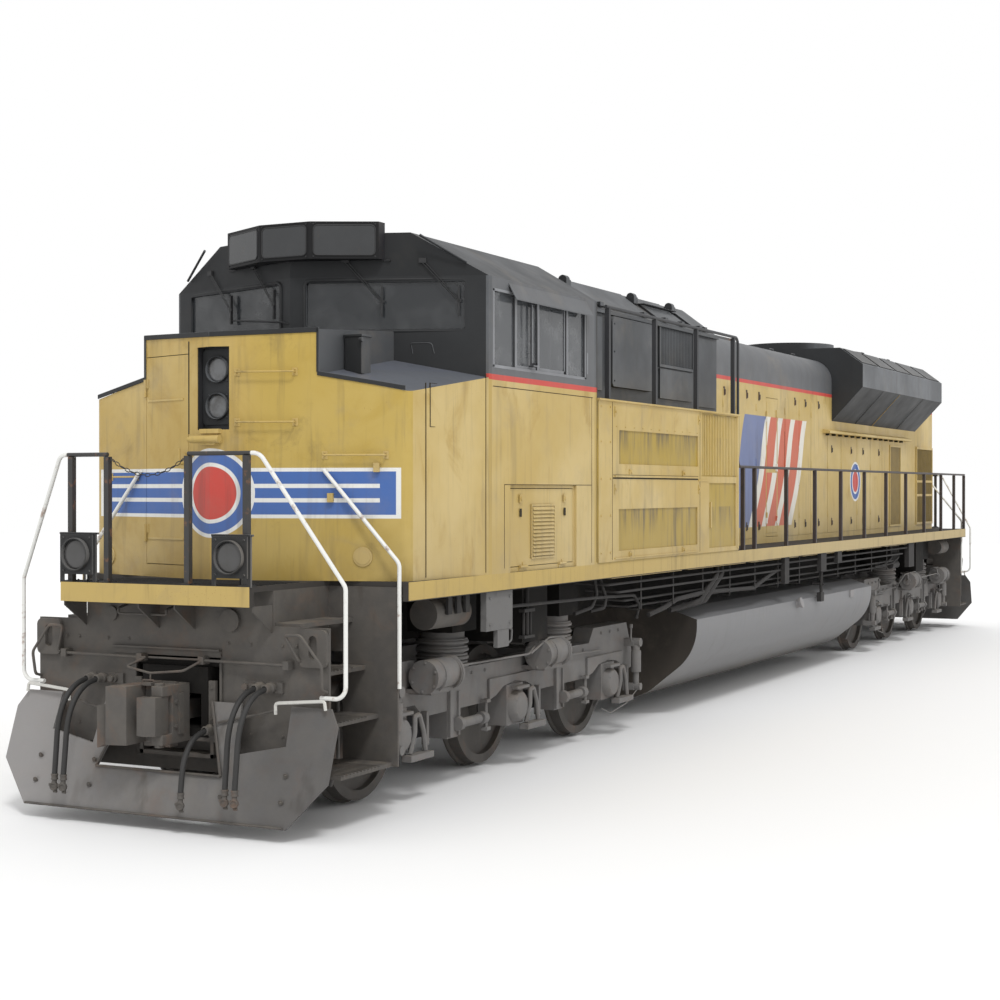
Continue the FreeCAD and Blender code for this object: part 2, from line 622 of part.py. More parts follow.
# pilots with step wells; columns: tread level, outer edge of the tread
TREADS = (("stepBase", "stepOuter"), ("stepBase + stepRise", "stepOuter - stepLean"),
          ("stepBase + 2 * stepRise", "stepOuter - 2 * stepLean"),
          ("stepBase + 3 * stepRise", "stepOuter - 3 * stepLean"))
pilot_corners = [("-pilotHalfWidth", "pilotBase"), ("-pilotHalfWidth", "pilotShoulder"),
                 ("-platformHalfWidth", "pilotShoulder"), ("-platformHalfWidth", UNDER_DECK),
                 ("platformHalfWidth", UNDER_DECK), ("platformHalfWidth", "pilotShoulder"),
                 ("pilotHalfWidth", "pilotShoulder"), ("pilotHalfWidth", "pilotBase"),
                 ("pilotMouthHalf", "pilotBase"), ("pilotMouthHalf", "pilotMouthTop"),
                 ("-pilotMouthHalf", "pilotMouthTop"), ("-pilotMouthHalf", "pilotBase")]
pilot_parts = [prism("PilotPlate", "XZ", pilot_corners,
                     ("-pilotPlane", "-pilotPlane + pilotPlate"))]
well_run = ("-pilotPlane + pilotPlate", "-sillEnd - wheelClear")
back_run = ("-sillEnd - stepWall", "-sillEnd")
for label, side in SIDES:
    pilot_parts.append(block("WellInner" + label,
                             sided(side, ("platformHalfWidth - stepWall", "platformHalfWidth")),
                             well_run, ("stepBase", UNDER_DECK)))
    pilot_parts.append(block("WellBack" + label, sided(side, ("wellInner", "stepOuter + stepPost")),
                             back_run, ("stepBase", UNDER_DECK)))
    pilot_parts.append(block("WellTop" + label,
                             sided(side, ("platformHalfWidth - stepWall", "stepOuter + stepPost")),
                             back_run, ("wellTopBase", UNDER_DECK)))
    pilot_parts.append(block("WellSide" + label,
                             sided(side, ("platformHalfWidth - stepWall", "platformHalfWidth")),
                             ("-sillEnd - wheelClear - 5", "-sillEnd - stepWall + 5"),
                             ("wellTopBase", UNDER_DECK)))
    for number, (level, outer) in enumerate(TREADS):
        pilot_parts.append(block(f"Tread{label}{number}",
                                 sided(side, ("platformHalfWidth", outer)), well_run,
                                 (level, f"{level} + treadPlate")))
        pilot_parts.append(block(f"TreadBack{label}{number}", sided(side, ("wellInner", outer)),
                                 ("-sillEnd - wheelClear - 5", "-sillEnd - stepWall + 5"),
                                 (level, f"{level} + treadPlate")))
front_pilot = join("FrontPilot", pilot_parts)
piece("pilots", group("Pilots", [front_pilot, mirrored("RearPilot", front_pilot, (0, 1, 0))]))

# snow ploughs, a sloping plate with bevelled corners and a gap below the coupler
plough_plate = prism("PloughPlate", "YZ",
                     [("-ploughBasePlane", "ploughBase"),
                      ("-ploughBasePlane + ploughPlate", "ploughBase"),
                      ("-ploughTopPlane + ploughPlate", "ploughTop"),
                      ("-ploughTopPlane", "ploughTop")],
                     ("-ploughTopHalf", "ploughTopHalf"))
PLOUGH_RUN = ("-ploughBasePlane - 10", "-ploughTopPlane + 100")
plough_tools = [prism("PloughMouth", "XZ",
                      [("-ploughMouthHalf", "ploughMouthBase"),
                       ("ploughMouthHalf", "ploughMouthBase"),
                       ("ploughMouthHalf - 200", "ploughTop + 10"),
                       ("-ploughMouthHalf + 200", "ploughTop + 10")], PLOUGH_RUN)]
for label, side in SIDES:
    plough_tools.append(prism("PloughCorner" + label, "XZ",
                              [(f"{side} * ploughBaseHalf", "ploughBase - 10"),
                               (f"{side} * (ploughTopHalf + 10)", "ploughBase - 10"),
                               (f"{side} * (ploughTopHalf + 10)", "ploughCornerHeight")],
                              PLOUGH_RUN))
    plough_tools.append(prism("PloughNotch" + label, "XZ",
                              [(f"{side} * (ploughBracketInner + 100)", "ploughNotchBase"),
                               (f"{side} * (ploughBracketOuter - 80)", "ploughNotchBase + 80"),
                               (f"{side} * (ploughBracketOuter - 95)", "ploughTop + 10"),
                               (f"{side} * (ploughBracketInner + 60)", "ploughTop + 10")],
                              PLOUGH_RUN))
    plough_tools.append(prism("PloughShoulder" + label, "XZ",
                              [(f"{side} * (ploughTopHalf - 80)", "ploughTop + 1"),
                               (f"{side} * (ploughTopHalf + 10)", "ploughTop - 140"),
                               (f"{side} * (ploughTopHalf + 10)", "ploughTop + 1")],
                              PLOUGH_RUN))
plough_parts = [cut("PloughBlade", plough_plate, plough_tools)]
for number, place in enumerate(("-ploughBracketOuter", "-ploughBracketInner",
                                "ploughBracketInner", "ploughBracketOuter")):
    plough_parts.append(prism(f"PloughBracket{number}", "YZ",
                              [("-pilotPlane", "pilotBase + 20"), ("-pilotPlane", "ploughTop - 50"),
                               ("-ploughTopPlane - 10", "ploughTop - 50"),
                               ("-ploughTopPlane - 80", "pilotBase + 20")],
                              middle(place, "ploughPlate / 2")))
front_plough = join("FrontPlough", plough_parts)
piece("ploughs", group("Ploughs", [front_plough, mirrored("RearPlough", front_plough, (0, 1, 0))]))


# couplers: a shank on a pin, a head with a guard arm, and a knuckle that opens
def coupler(label, end):
    head_back = "couplerEnd - couplerHeadDepth"
    shank = block("Shank" + label, ("-shankHalf", "shankHalf"),
                  sided(end, ("couplerPivot - 1.4 * shankHalf", head_back)),
                  middle("couplerHeight", "shankHalf"))
    side = -end
    head = prism("CouplerHead" + label, "XY",
                 [(f"{side} * -headHalf", f"{end} * ({head_back})"),
                  (f"{side} * headHalf", f"{end} * ({head_back})"),
                  (f"{side} * headHalf", f"{end} * (couplerEnd - 90)"),
                  (f"{side} * guardInner", f"{end} * (couplerEnd - 90)"),
                  (f"{side} * guardInner", f"{end} * (couplerEnd - knuckleDepth)"),
                  (f"{side} * -guardInner", f"{end} * (couplerEnd - knuckleDepth)"),
                  (f"{side} * -guardInner", f"{end} * (couplerEnd + 20)"),
                  (f"{side} * (-headHalf - 60)", f"{end} * (couplerEnd + 60)"),
                  (f"{side} * (-headHalf - 60)", f"{end} * (couplerEnd - 30)")],
                 middle("couplerHeight", "couplerHeadHalf"))
    bore = rod("CouplerBore" + label, "z", middle("couplerHeight", "couplerHeadHalf + 10"),
               ("0", f"{end} * couplerPivot"), "couplerPinRadius + pinGap")
    pin_spot = (f"{side} * knucklePlace", f"{end} * (couplerEnd - knuckleSet)")
    slot = block("KnuckleSlot" + label,
                 sided(side, ("guardInner - 45", "headHalf + 10")),
                 sided(end, ("couplerEnd - knuckleDepth", "couplerEnd")),
                 middle("couplerHeight", "knuckleHalf + seatGap"))
    body = cut("CouplerBody" + label, join("CouplerSolid" + label, [shank, head]), [bore, slot])
    pin = rod("KnucklePin" + label, "z", middle("couplerHeight", "couplerHeadHalf"),
              pin_spot, "knucklePinRadius")
    piece(f"{label}_coupler", join("Coupler" + label, [body, pin]))
    hook = prism("KnuckleHook" + label, "XY",
                 [(f"{side} * (knucklePlace + 46)", f"{end} * (couplerEnd - knuckleSet - 45)"),
                  (f"{side} * (knucklePlace + 46)", f"{end} * (couplerEnd - 20)"),
                  (f"{side} * (knucklePlace - 20)", f"{end} * (couplerEnd + 30)"),
                  (f"{side} * 15", f"{end} * (couplerEnd + 10)"),
                  (f"{side} * 15", f"{end} * (couplerEnd - 70)"),
                  (f"{side} * (knucklePlace - 46)", f"{end} * (couplerEnd - 70)"),
                  (f"{side} * (knucklePlace - 46)", f"{end} * (couplerEnd - knuckleSet - 45)")],
                 middle("couplerHeight", "knuckleHalf"))
    eye = rod("KnuckleEye" + label, "z", middle("couplerHeight", "knuckleHalf + 10"), pin_spot,
              "knucklePinRadius + pinGap")
    piece(f"{label}_knuckle", cut("Knuckle" + label, hook, [eye]))


for label, end in ENDS:
    coupler(label, end)

# fuel tank between the trucks, with rounded lower sides
tank = prism("TankShell", "XZ",
             [("tankBaseHalf", "tankBase"), ("tankHalf", "tankSideBase"), ("tankHalf", "tankTop"),
              ("tankRoofHalf", "centreSillBase"), ("-tankRoofHalf", "centreSillBase"),
              ("-tankHalf", "tankTop"), ("-tankHalf", "tankSideBase"), ("-tankBaseHalf", "tankBase")],
             ("-tankFront", "tankRear"))
piece("fuel_tank", rounded("FuelTank", tank, size("tankRound"),
                           lambda mid, way: abs(way.y) > 0.9 and mid.z < size("tankTop") - 1))


# wheelsets: columns are the distance from the centre line and the radius
WHEEL_PROFILE = (
    ("wheelInner - hubReach", "axleRadius"), ("wheelInner - hubReach", "hubRadius"),
    ("webInner", "hubRadius"), ("webInner", "wheelRadius - rimDepth"),
    ("wheelInner", "wheelRadius - rimDepth"), ("wheelInner", "wheelRadius + flangeDepth"),
    ("wheelInner + flangeWidth * 0.7", "wheelRadius + flangeDepth"),
    ("wheelInner + flangeWidth", "wheelRadius"), ("wheelInner + wheelWidth", "wheelRadius"),
    ("wheelInner + wheelWidth", "wheelRadius - rimDepth"),
    ("webInner + webThickness", "wheelRadius - rimDepth"),
    ("webInner + webThickness", "hubRadius"),
    ("wheelInner + wheelWidth + hubReach", "hubRadius"),
    ("wheelInner + wheelWidth + hubReach", "journalRadius"),
    ("journalEnd", "journalRadius"))
axle_corners = list(WHEEL_PROFILE) + [("journalEnd", "0"), ("-journalEnd", "0")]
axle_corners += [(f"-({place})", radius) for place, radius in reversed(WHEEL_PROFILE)]
AXLE_HEIGHT = "wheelRadius + flangeDepth"
AXLE_PLACES = [f"{end} * truckCentre + {step} * axleSpacing" for end in (-1, 1) for step in (-1, 0, 1)]
for number, place in enumerate(AXLE_PLACES, 1):
    piece(f"wheelset_{number}", turned(f"Wheelset{number}", axle_corners, (place, AXLE_HEIGHT)))


# trucks: side frames with pedestals, cross beams and a centre beam with the bearing
def truck(label, end):
    def at(offset):
        return f"{end} * (truckCentre - ({offset}))"

    def along(low, high):
        return (at(low), at(high)) if end < 0 else (at(high), at(low))

    centre = at("0")
    top_run = [("-sideFrameEnd", "sideFrameTop - 150"), ("-sideFrameEnd + 140", "crownTop"),
               ("-axleSpacing + crownReach - 110", "crownTop"),
               ("-axleSpacing + crownReach", "sideFrameTop"), ("axleSpacing - crownReach", "sideFrameTop"),
               ("axleSpacing - crownReach + 110", "crownTop"), ("sideFrameTail - 140", "crownTop"),
               ("sideFrameTail", "sideFrameTop - 150")]
    low_run = [("sideFrameTail", "sideFrameBase"), ("axleSpacing + archHalf", "sideFrameBase")]
    for step in (1, 0, -1):
        axle = f"{step} * axleSpacing"
        low_run += [(f"{axle} + archHalf - 150", "archTop"), (f"{axle} - archHalf + 150", "archTop"),
                    (f"{axle} - archHalf", "sideFrameBase")]
        if step > -1:
            low_run += [(f"{axle} - legPlace + legWidth", "sideFrameBase"),
                        (f"{axle} - legPlace + legWidth", "legBase"),
                        (f"{axle} - legPlace", "legBase"), (f"{axle} - legPlace", "sideFrameBase"),
                        (f"{axle} - axleSpacing + archHalf", "sideFrameBase")]
    low_run[-1] = ("-axleSpacing - archHalf + 100", "archTop")
    low_run.append(("-sideFrameEnd", "archTop"))
    corners = [(at(place), level) for place, level in top_run + low_run]
    frame = [prism(f"SideFrame{label}{name}", "YZ", corners,
                   sided(side, ("sideFrameInner", "sideFrameOuter"))) for name, side in SIDES]
    for number, way in enumerate((-1, 1)):
        frame.append(block(f"CrossBeam{label}{number}", ("-sideFrameInner", "sideFrameInner"),
                           middle(at(f"{way} * axleSpacing / 2"), "transomHalf"),
                           ("transomBase", "sideFrameTop")))
    frame.append(block("CentreBeam" + label, ("-bolsterHalf", "bolsterHalf"),
                       middle(centre, "axleSpacing / 2"), ("transomBase", "bolsterTop")))
    frame.append(rod("CentrePlate" + label, "z", ("bolsterTop", "bearingHeight - seatGap"),
                     ("0", centre), "centrePlateRadius"))
    bore = rod("KingBore" + label, "z", ("transomBase - 10", "bearingHeight + 10"),
               ("0", centre), "kingPinRadius + pinGap")
    piece(f"{label}_truck_frame", cut("TruckFrame" + label, join("TruckBeams" + label, frame), [bore]))

    gear = []
    for name, side in SIDES:
        for step in (-1, 0, 1):
            box = block(f"BearingBox{label}{name}{step + 1}",
                        sided(side, ("journalStart", "sideFrameOuter + 20")),
                        middle(at(f"{step} * axleSpacing"), "boxHalf"),
                        (f"{AXLE_HEIGHT} - boxHalf", "archTop - seatGap"))
            hole = rod(f"BearingHole{label}{name}{step + 1}", "x",
                       sided(side, ("journalStart - 10", "journalEnd + 5")),
                       (at(f"{step} * axleSpacing"), AXLE_HEIGHT), "journalRadius + journalGap")
            gear.append(cut(f"Bearing{label}{name}{step + 1}", box, [hole]))
        for way in (-1, 1):
            spot = (f"{side} * springPlace", at(f"{way} * springOffset"))
            key = f"{label}{name}{way + 1}"
            layers = [rod("Spring" + key, "z", ("sideFrameTop", "springTop"), spot, "springRadius")]
            for layer in range(1, 5):
                level = f"sideFrameTop + {layer} * (springTop - sideFrameTop) / 5"
                layers.append(rod(f"SpringPlate{key}{layer}", "z", middle(level, "8"), spot,
                                  "springPlateRadius"))
            gear.append(join("SpringStack" + key, layers))
            brake = f"({way} - 1) * axleSpacing / 2 + brakeShift"
            brake_run = along(brake, f"{brake} + cylinderLength")
            tray = block("BrakeTray" + key, sided(side, ("sideFrameOuter", "cylinderPlace + 60")),
                         brake_run,
                         ("cylinderHeight - cylinderRadius - 20", "cylinderHeight - cylinderRadius + 12"))
            drum = rod("BrakeCylinder" + key, "y", brake_run,
                       (f"{side} * cylinderPlace", "cylinderHeight"), "cylinderRadius")
            gear.append(join("Brake" + key, [tray, drum]))
    piece(f"{label}_truck_gear", group("TruckGear" + label, gear))

    motors = []
    for step in (-1, 0, 1):
        way = -end if step < 0 else end
        axle = at(f"{step} * axleSpacing")
        reach = (f"{axle} + {way} * motorStart", f"{axle} + {way} * motorReach")
        body = block(f"Motor{label}{step + 1}", ("-motorHalf", "motorHalf"),
                     reach if way > 0 else reach[::-1], ("motorBase", "motorTop"))
        bearings = []
        for number, side in enumerate((-1, 1)):
            spot = sided(side, ("motorHalf - 130", "motorHalf"))
            bearings.append(rod(f"MotorBearing{label}{step + 1}{number}", "x", spot,
                                (axle, AXLE_HEIGHT), "motorStart + 20"))
        hole = rod(f"MotorHole{label}{step + 1}", "x", ("-motorHalf - 10", "motorHalf + 10"),
                   (axle, AXLE_HEIGHT), "axleRadius + motorGap")
        nose = (f"{axle} + {way} * (motorReach - motorNose)", reach[1])
        hanger = block(f"MotorHanger{label}{step + 1}", ("-motorNose", "motorNose"),
                       nose if way > 0 else nose[::-1], ("motorTop - 10", "transomBase"))
        motors.append(cut(f"MotorUnit{label}{step + 1}",
                          join(f"MotorParts{label}{step + 1}", [body, hanger] + bearings), [hole]))
    piece(f"{label}_traction_motors", group("TractionMotors" + label, motors))


for label, end in ENDS:
    truck(label, end)


# nose: two front facets, a raised middle and sloping shoulders, hollow inside
nose_plan = [("0", "-noseTip"), ("noseHalf", "-noseCorner"),
             ("sillHalfWidth", "-cabFront - seatGap"), ("0", "-cabRidge - seatGap"),
             ("-sillHalfWidth", "-cabFront - seatGap"), ("-noseHalf", "-noseCorner")]
nose_solid = rounded("NoseRounded", prism("NoseSolid", "XY", nose_plan, ("deckTop", "noseTopZ + 200")),
                     size("noseRound"),
                     lambda mid, way: abs(way.z) > 0.9 and mid.y < -size("noseCorner") + 5
                     and abs(mid.x) > 10)
top_line = [("-noseTip - 100", "noseTopZ"), ("-noseTip - 100", "noseTopZ + 900"),
            ("-cabFront + 200", "noseTopZ + 900"), ("-cabFront + 200", "noseTopZ + humpRise")]


shoulder_line = [("-noseTip - 80", "noseShoulderIn"), ("-noseTip - 80", "noseTopZ + 700"),
                 ("-cabFront + 150", "noseTopZ + 700"),
                 ("-cabFront + 150", "noseShoulderIn + shoulderRise")]
nose_tools = [prism("NoseTopCut", "YZ", top_line, ("-sillHalfWidth - 50", "sillHalfWidth + 50"))]
shoulder = sloping("ShoulderCutLeft", shoulder_line, "noseShoulderHalf", "sillHalfWidth + 100",
                   "noseShoulderIn - noseShoulderOut")
nose_tools += [shoulder, mirrored("ShoulderCutRight", shoulder, (1, 0, 0))]
low_hollow = prism("NoseHollow", "XY",
                   [("0", "-noseTip + 1.1 * noseWall"),
                    ("noseHalf - noseWall", "-noseCorner + noseWall"),
                    ("sillHalfWidth - 1.1 * noseWall", "-cabFront + 200"),
                    ("-sillHalfWidth + 1.1 * noseWall", "-cabFront + 200"),
                    ("-noseHalf + noseWall", "-noseCorner + noseWall")],
                   ("deckTop - 10", "noseShoulderOut + 1.4 * noseWall"))
HUMP = "noseShoulderHalf - noseWall"
HUMP_FRONT = f"-noseTip + 1.1 * noseWall + noseSlope * ({HUMP})"
high_hollow = prism("HumpHollow", "XY",
                    [("0", "-noseTip + 1.1 * noseWall"), (HUMP, HUMP_FRONT),
                     (HUMP, "-cabFront + 200"), (f"-({HUMP})", "-cabFront + 200"),
                     (f"-({HUMP})", HUMP_FRONT)],
                    ("deckTop + 200", "noseTopZ - noseWall"))
lamp_box = block("LampBox", middle("0", "lampHalf + lampBoxWall"),
                 ("-noseTip - 10", "-noseTip + lampDepth + noseWall + lampBoxWall"),
                 ("lampBase - lampBoxWall", "lampTop + lampBoxWall"))
nose_tools.append(cut("NoseInside", join("NoseHollows", [low_hollow, high_hollow]), [lamp_box]))
nose_tools.append(block("LampRecess", ("-lampHalf", "lampHalf"),
                        ("-noseTip - 10", "-noseTip + lampDepth + noseWall"),
                        ("lampBase", "lampTop")))
FACET = "atan2(noseTip - noseCorner; noseHalf)"
door_frame = (("0", "-noseTip", "0"), f"180 ° - {FACET}")
nose_tools.append(swung("NoseDoorway",
                        [block("NoseDoorwayBlock", ("noseDoorInner", "noseDoorOuter"),
                               ("-noseWall - 60", "20"), ("noseDoorBase", "noseDoorTop"))],
                        *door_frame))
nose_hinge, nose_door_hinge = hinges("NoseHinge", "yxz", 1, -1, "0", "noseDoorOuter",
                                     ("noseDoorBase + 250", "noseDoorTop - 250"))
nose_cut = cut("NoseCut", nose_solid, nose_tools)
piece("nose", join("Nose", [nose_cut, swung("NoseHingeFixed", nose_hinge, *door_frame)]))
nose_leaf = block("NoseDoorLeaf", inset(("noseDoorInner", "noseDoorOuter"), "doorGap"),
                  ("-doorThickness", "0"), inset(("noseDoorBase", "noseDoorTop"), "doorGap"))
piece("nose_door", swung("NoseDoor", [join("NoseDoorSolid", [nose_leaf] + nose_door_hinge)],
                         *door_frame))

# cab: six panels, with the windows and doorways cut through
FRONT_SLOPE = "(cabRidge - cabFront) / sillHalfWidth"


def front_line(shift, reach="sillHalfWidth"):
    """Plan of the two front facets, moved back by shift, from the left to the right side."""
    outer = f"-cabRidge + {FRONT_SLOPE} * ({reach}) + {shift}"
    return [(reach, outer), ("0", f"-cabRidge + {shift}"), (f"-({reach})", outer)]


front_panel = prism("FrontPanel", "XY", front_line("0") + front_line("cabWall")[::-1],
                    ("deckTop", "cabEaves"))
screen_holes = [block("Screen" + label, sided(side, ("screenInner", "screenOuter")),
                      ("-cabRidge - 10", "-cabFront + 100"), ("screenBase", "screenTop"))
                for label, side in SIDES]
doorway = block("NoseWay", ("-bulkheadDoorHalf", "bulkheadDoorHalf"),
                ("-cabRidge - 10", "-cabFront + 100"), ("cabFloorTop", "bulkheadDoorTop"))
piece("cab_front_wall", cut("CabFrontWall", front_panel, screen_holes + [doorway]))

WALL_RUN = ("-cabFront + cabWall", "-cabRear - cabWall")
WINDOW_RUN = ("-sideWindowFront", "-sideWindowRear")
WINDOW_RISE = ("sideWindowBase", "sideWindowTop")
HATCH_FACE = "sillHalfWidth - 2 * hingeRadius"
hatch_hinge, hatch_door_hinge = hinges("HatchHinge", "xzy", 1, 1, HATCH_FACE, "hatchBase",
                                       ("-hatchFront + 250", "-hatchRear - 250"))
side_walls = []
for label, side in SIDES:
    wall = block("CabSide" + label, sided(side, ("sillHalfWidth - cabWall", "sillHalfWidth")),
                 WALL_RUN, ("deckTop", "cabEaves"))
    holes = [block("SideWindow" + label,
                   sided(side, ("sillHalfWidth - 2 * cabWall", "sillHalfWidth + cabWall")),
                   WINDOW_RUN, WINDOW_RISE)]
    if label == "Left":
        holes.append(block("HatchWay", ("sillHalfWidth - 2 * cabWall", "sillHalfWidth + cabWall"),
                           ("-hatchFront", "-hatchRear"), ("hatchBase", "hatchTop")))
        holes.append(block("HatchRecess", (HATCH_FACE, "sillHalfWidth + cabWall"),
                           ("-hatchFront - hatchFrame", "-hatchRear + hatchFrame"),
                           ("deckTop - 10", "hatchTop + hatchFrame")))
    root = "cabEaves - 5"
    visor = prism("Visor" + label, "XZ",
                  [(f"{side} * (sillHalfWidth - 10)", root),
                   (f"{side} * (sillHalfWidth - 10)", f"{root} - visorPlate"),
                   (f"{side} * (sillHalfWidth + visorReach)", f"{root} - visorDrop - visorPlate"),
                   (f"{side} * (sillHalfWidth + visorReach)", f"{root} - visorDrop")],
                  ("-sideWindowFront + 290", "-sideWindowRear"))
    panel = join("CabWall" + label, [cut("CabPanel" + label, wall, holes), visor])
    if label == "Left":
        panel = join("CabWallHinged", [panel] + hatch_hinge)
    side_walls.append(panel)
piece("cab_side_walls", group("CabSideWalls", side_walls))
hatch_leaf = block("HatchLeaf", (f"{HATCH_FACE} - doorThickness / 2", HATCH_FACE),
                   inset(("-hatchFront", "-hatchRear"), "doorGap"),
                   inset(("hatchBase", "hatchTop"), "doorGap"))
piece("battery_hatch", join("BatteryHatch", [hatch_leaf] + hatch_door_hinge))

rear_panel = block("RearPanel", ALL_X, ("-cabRear - cabWall", "-cabRear"), ("deckTop", "cabEaves"))
rear_way = block("CabDoorWay", ("-cabDoorOuter", "-cabDoorInner"),
                 ("-cabRear - 2 * cabWall", "-cabRear + cabWall"), ("cabFloorTop", "cabDoorTop"))
cab_hinge, cab_door_hinge = hinges("CabHinge", "yxz", 1, 1, "-cabRear", "-cabDoorOuter",
                                   ("cabFloorTop + 250", "cabDoorTop - 250"))
piece("cab_rear_wall", join("CabRearWall", [cut("RearPanelCut", rear_panel, [rear_way])] + cab_hinge))
cab_leaf = block("CabDoorLeaf", inset(("-cabDoorOuter", "-cabDoorInner"), "doorGap"),
                 ("-cabRear - doorThickness", "-cabRear"),
                 inset(("cabFloorTop", "cabDoorTop"), "doorGap"))
cab_leaf = cut("CabDoorLight", cab_leaf,
               [block("CabDoorPane", inset(("-cabDoorOuter", "-cabDoorInner"), "90"),
                      ("-cabRear - cabWall", "-cabRear + cabWall"),
                      ("sideWindowBase", "cabDoorTop - 90"))])
piece("cab_door", join("CabDoor", [cab_leaf] + cab_door_hinge))

floor_plan = front_line("cabWall + seatGap", "sillHalfWidth - cabWall")
floor_plan += [("-sillHalfWidth + cabWall", "-cabRear - cabWall"),
               ("sillHalfWidth - cabWall", "-cabRear - cabWall")]
piece("cab_floor", prism("CabFloor", "XY", floor_plan, ("cabFloorTop - cabFloorPlate", "cabFloorTop")))


def roof_profile(eaves, inner):
    """Roof section over the cab; inner moves the outline in by the plate thickness."""
    return [(f"-sillHalfWidth + {inner}", eaves),
            (f"-cabRoofHalf + 0.4 * ({inner})", f"cabRoofTop - {inner}"),
            (f"cabRoofHalf - 0.4 * ({inner})", f"cabRoofTop - {inner}"),
            (f"sillHalfWidth - {inner}", eaves)]


def roof_solid(label, inner, front, rear):
    """The volume under a roof section, behind the two front facets."""
    section = prism("RoofSection" + label, "XZ", roof_profile("cabEaves", inner),
                    ("-cabRidge - 100", rear))
    plan = front_line(front) + [("-sillHalfWidth", rear), ("sillHalfWidth", rear)]
    area = prism("RoofPlan" + label, "XY", plan, ("cabEaves - 100", "cabRoofTop + 100"))
    item = doc.addObject("Part::MultiCommon", "RoofVolume" + label)
    item.Shapes = [section, area]
    return item


piece("cab_roof", cut("CabRoof", roof_solid("Outer", "0", "0", "-cabRear"),
                      [roof_solid("Inner", "cabWall", "cabWall", "-cabRear - cabWall")]))

glass = []
for label, side in SIDES:
    corners = []
    for shift in ("0.4 * cabWall", "0.4 * cabWall + glassThickness"):
        row = [(f"{side} * {place}", f"-cabRidge + {FRONT_SLOPE} * {place} + {shift}")
               for place in ("screenInner", "screenOuter")]
        corners += row if shift == "0.4 * cabWall" else row[::-1]
    glass.append(prism("Windscreen" + label, "XY", corners, ("screenBase", "screenTop")))
    glass.append(block("SideGlass" + label,
                       sided(side, ("sillHalfWidth - cabWall / 2",
                                    "sillHalfWidth - cabWall / 2 + glassThickness")),
                       WINDOW_RUN, WINDOW_RISE))
piece("cab_glass", group("CabGlass", glass))

# seats and desks in the cab
seats = []
desks = []
for label, side in SIDES:
    across = sided(side, ("seatPlace - seatHalf", "seatPlace + seatHalf"))
    seats.append(join("Seat" + label, [
        rod("SeatPost" + label, "z", ("cabFloorTop", "cabFloorTop + seatHeight"),
            (f"{side} * seatPlace", "-seatBack - seatHalf"), "seatHalf / 4"),
        block("SeatCushion" + label, across, ("-seatBack - 2 * seatHalf", "-seatBack"),
              ("cabFloorTop + seatHeight", "cabFloorTop + seatHeight + seatPad")),
        block("SeatRest" + label, across, ("-seatBack - seatPad", "-seatBack"),
              ("cabFloorTop + seatHeight", "cabFloorTop + seatTop"))]))
    desks.append(prism("Desk" + label, "YZ",
                       [("-deskFront", "cabFloorTop"), ("-deskRear", "cabFloorTop"),
                        ("-deskRear", "cabFloorTop + deskLow"), ("-deskFront", "cabFloorTop + deskHigh")],
                       sided(side, ("seatPlace - deskHalf", "seatPlace + deskHalf"))))
piece("cab_seats", group("CabSeats", seats))
piece("control_desks", group("ControlDesks", desks))

# number board housing above the windscreens
board_plan = [("-boardCentreHalf", "-boardFront"), ("boardCentreHalf", "-boardFront"),
              ("boardHalf", "-boardCorner"),
              ("boardHalf", f"-cabRidge + {FRONT_SLOPE} * boardHalf"), ("0", "-cabRidge"),
              ("-boardHalf", f"-cabRidge + {FRONT_SLOPE} * boardHalf"), ("-boardHalf", "-boardCorner")]
boards = prism("NumberBoards", "XY", board_plan, ("boardBase", "boardTop"))
piece("number_boards", boards)

# lamps: two headlamps in the nose recess and two ditch lamps on the end platform
lamps = []
for number, level in enumerate(("lampLow", "lampHigh")):
    lamps.append(rod(f"Headlamp{number}", "y", ("-noseTip + lampStand", "-noseTip + lampDepth + noseWall"),
                     ("0", level), "lampRadius"))
for label, side in SIDES:
    across = (f"{side} * ditchPlace - ditchHalf", f"{side} * ditchPlace + ditchHalf")
    lamps.append(join("DitchLamp" + label, [
        block("DitchBox" + label, across, ("-ditchPlane", "-ditchPlane + ditchDepth"),
              ("deckTop", "deckTop + 2 * ditchHalf + ditchStand")),
        rod("DitchLens" + label, "y", ("-ditchPlane - ditchRim", "-ditchPlane"),
            (f"{side} * ditchPlace", "deckTop + ditchHalf + ditchStand"), "lampRadius")]))
piece("lamps", group("Lamps", lamps))

# electrical cabinet, flush with the cab's left side, and the housing above it
HOUSING_RUN = ("-cabRear", "-cabinetRear")
cabinet = cut("CabinetShell",
              block("CabinetBlock", ("hoodHalf", "sillHalfWidth"), HOUSING_RUN,
                    ("deckTop", "cabinetTop")),
              [block("CabinetSpace", ("hoodHalf - 10", "sillHalfWidth - cabinetWall"),
                     inset(HOUSING_RUN, "cabinetWall"),
                     ("deckTop - 10", "cabinetTop - cabinetWall"))])
piece("electrical_cabinet", cabinet)
housing_profile = [("-hoodHalf", "deckTop"), ("hoodHalf", "deckTop"), ("hoodHalf", "cabinetTop"),
                   ("housingHalf", "cabinetTop"), ("housingHalf", "housingEaves"),
                   ("housingRoofHalf", "housingTop"), ("-housingRoofHalf", "housingTop"),
                   ("-hoodHalf", "housingEaves")]
housing_space = [("-hoodHalf + cabinetWall", "deckTop - 10"), ("hoodHalf - cabinetWall", "deckTop - 10"),
                 ("hoodHalf - cabinetWall", "cabinetTop + cabinetWall"),
                 ("housingHalf - cabinetWall", "cabinetTop + cabinetWall"),
                 ("housingHalf - cabinetWall", "housingEaves - cabinetWall / 2"),
                 ("housingRoofHalf - cabinetWall / 2", "housingTop - cabinetWall"),
                 ("-housingRoofHalf + cabinetWall / 2", "housingTop - cabinetWall"),
                 ("-hoodHalf + cabinetWall", "housingEaves - cabinetWall / 2")]
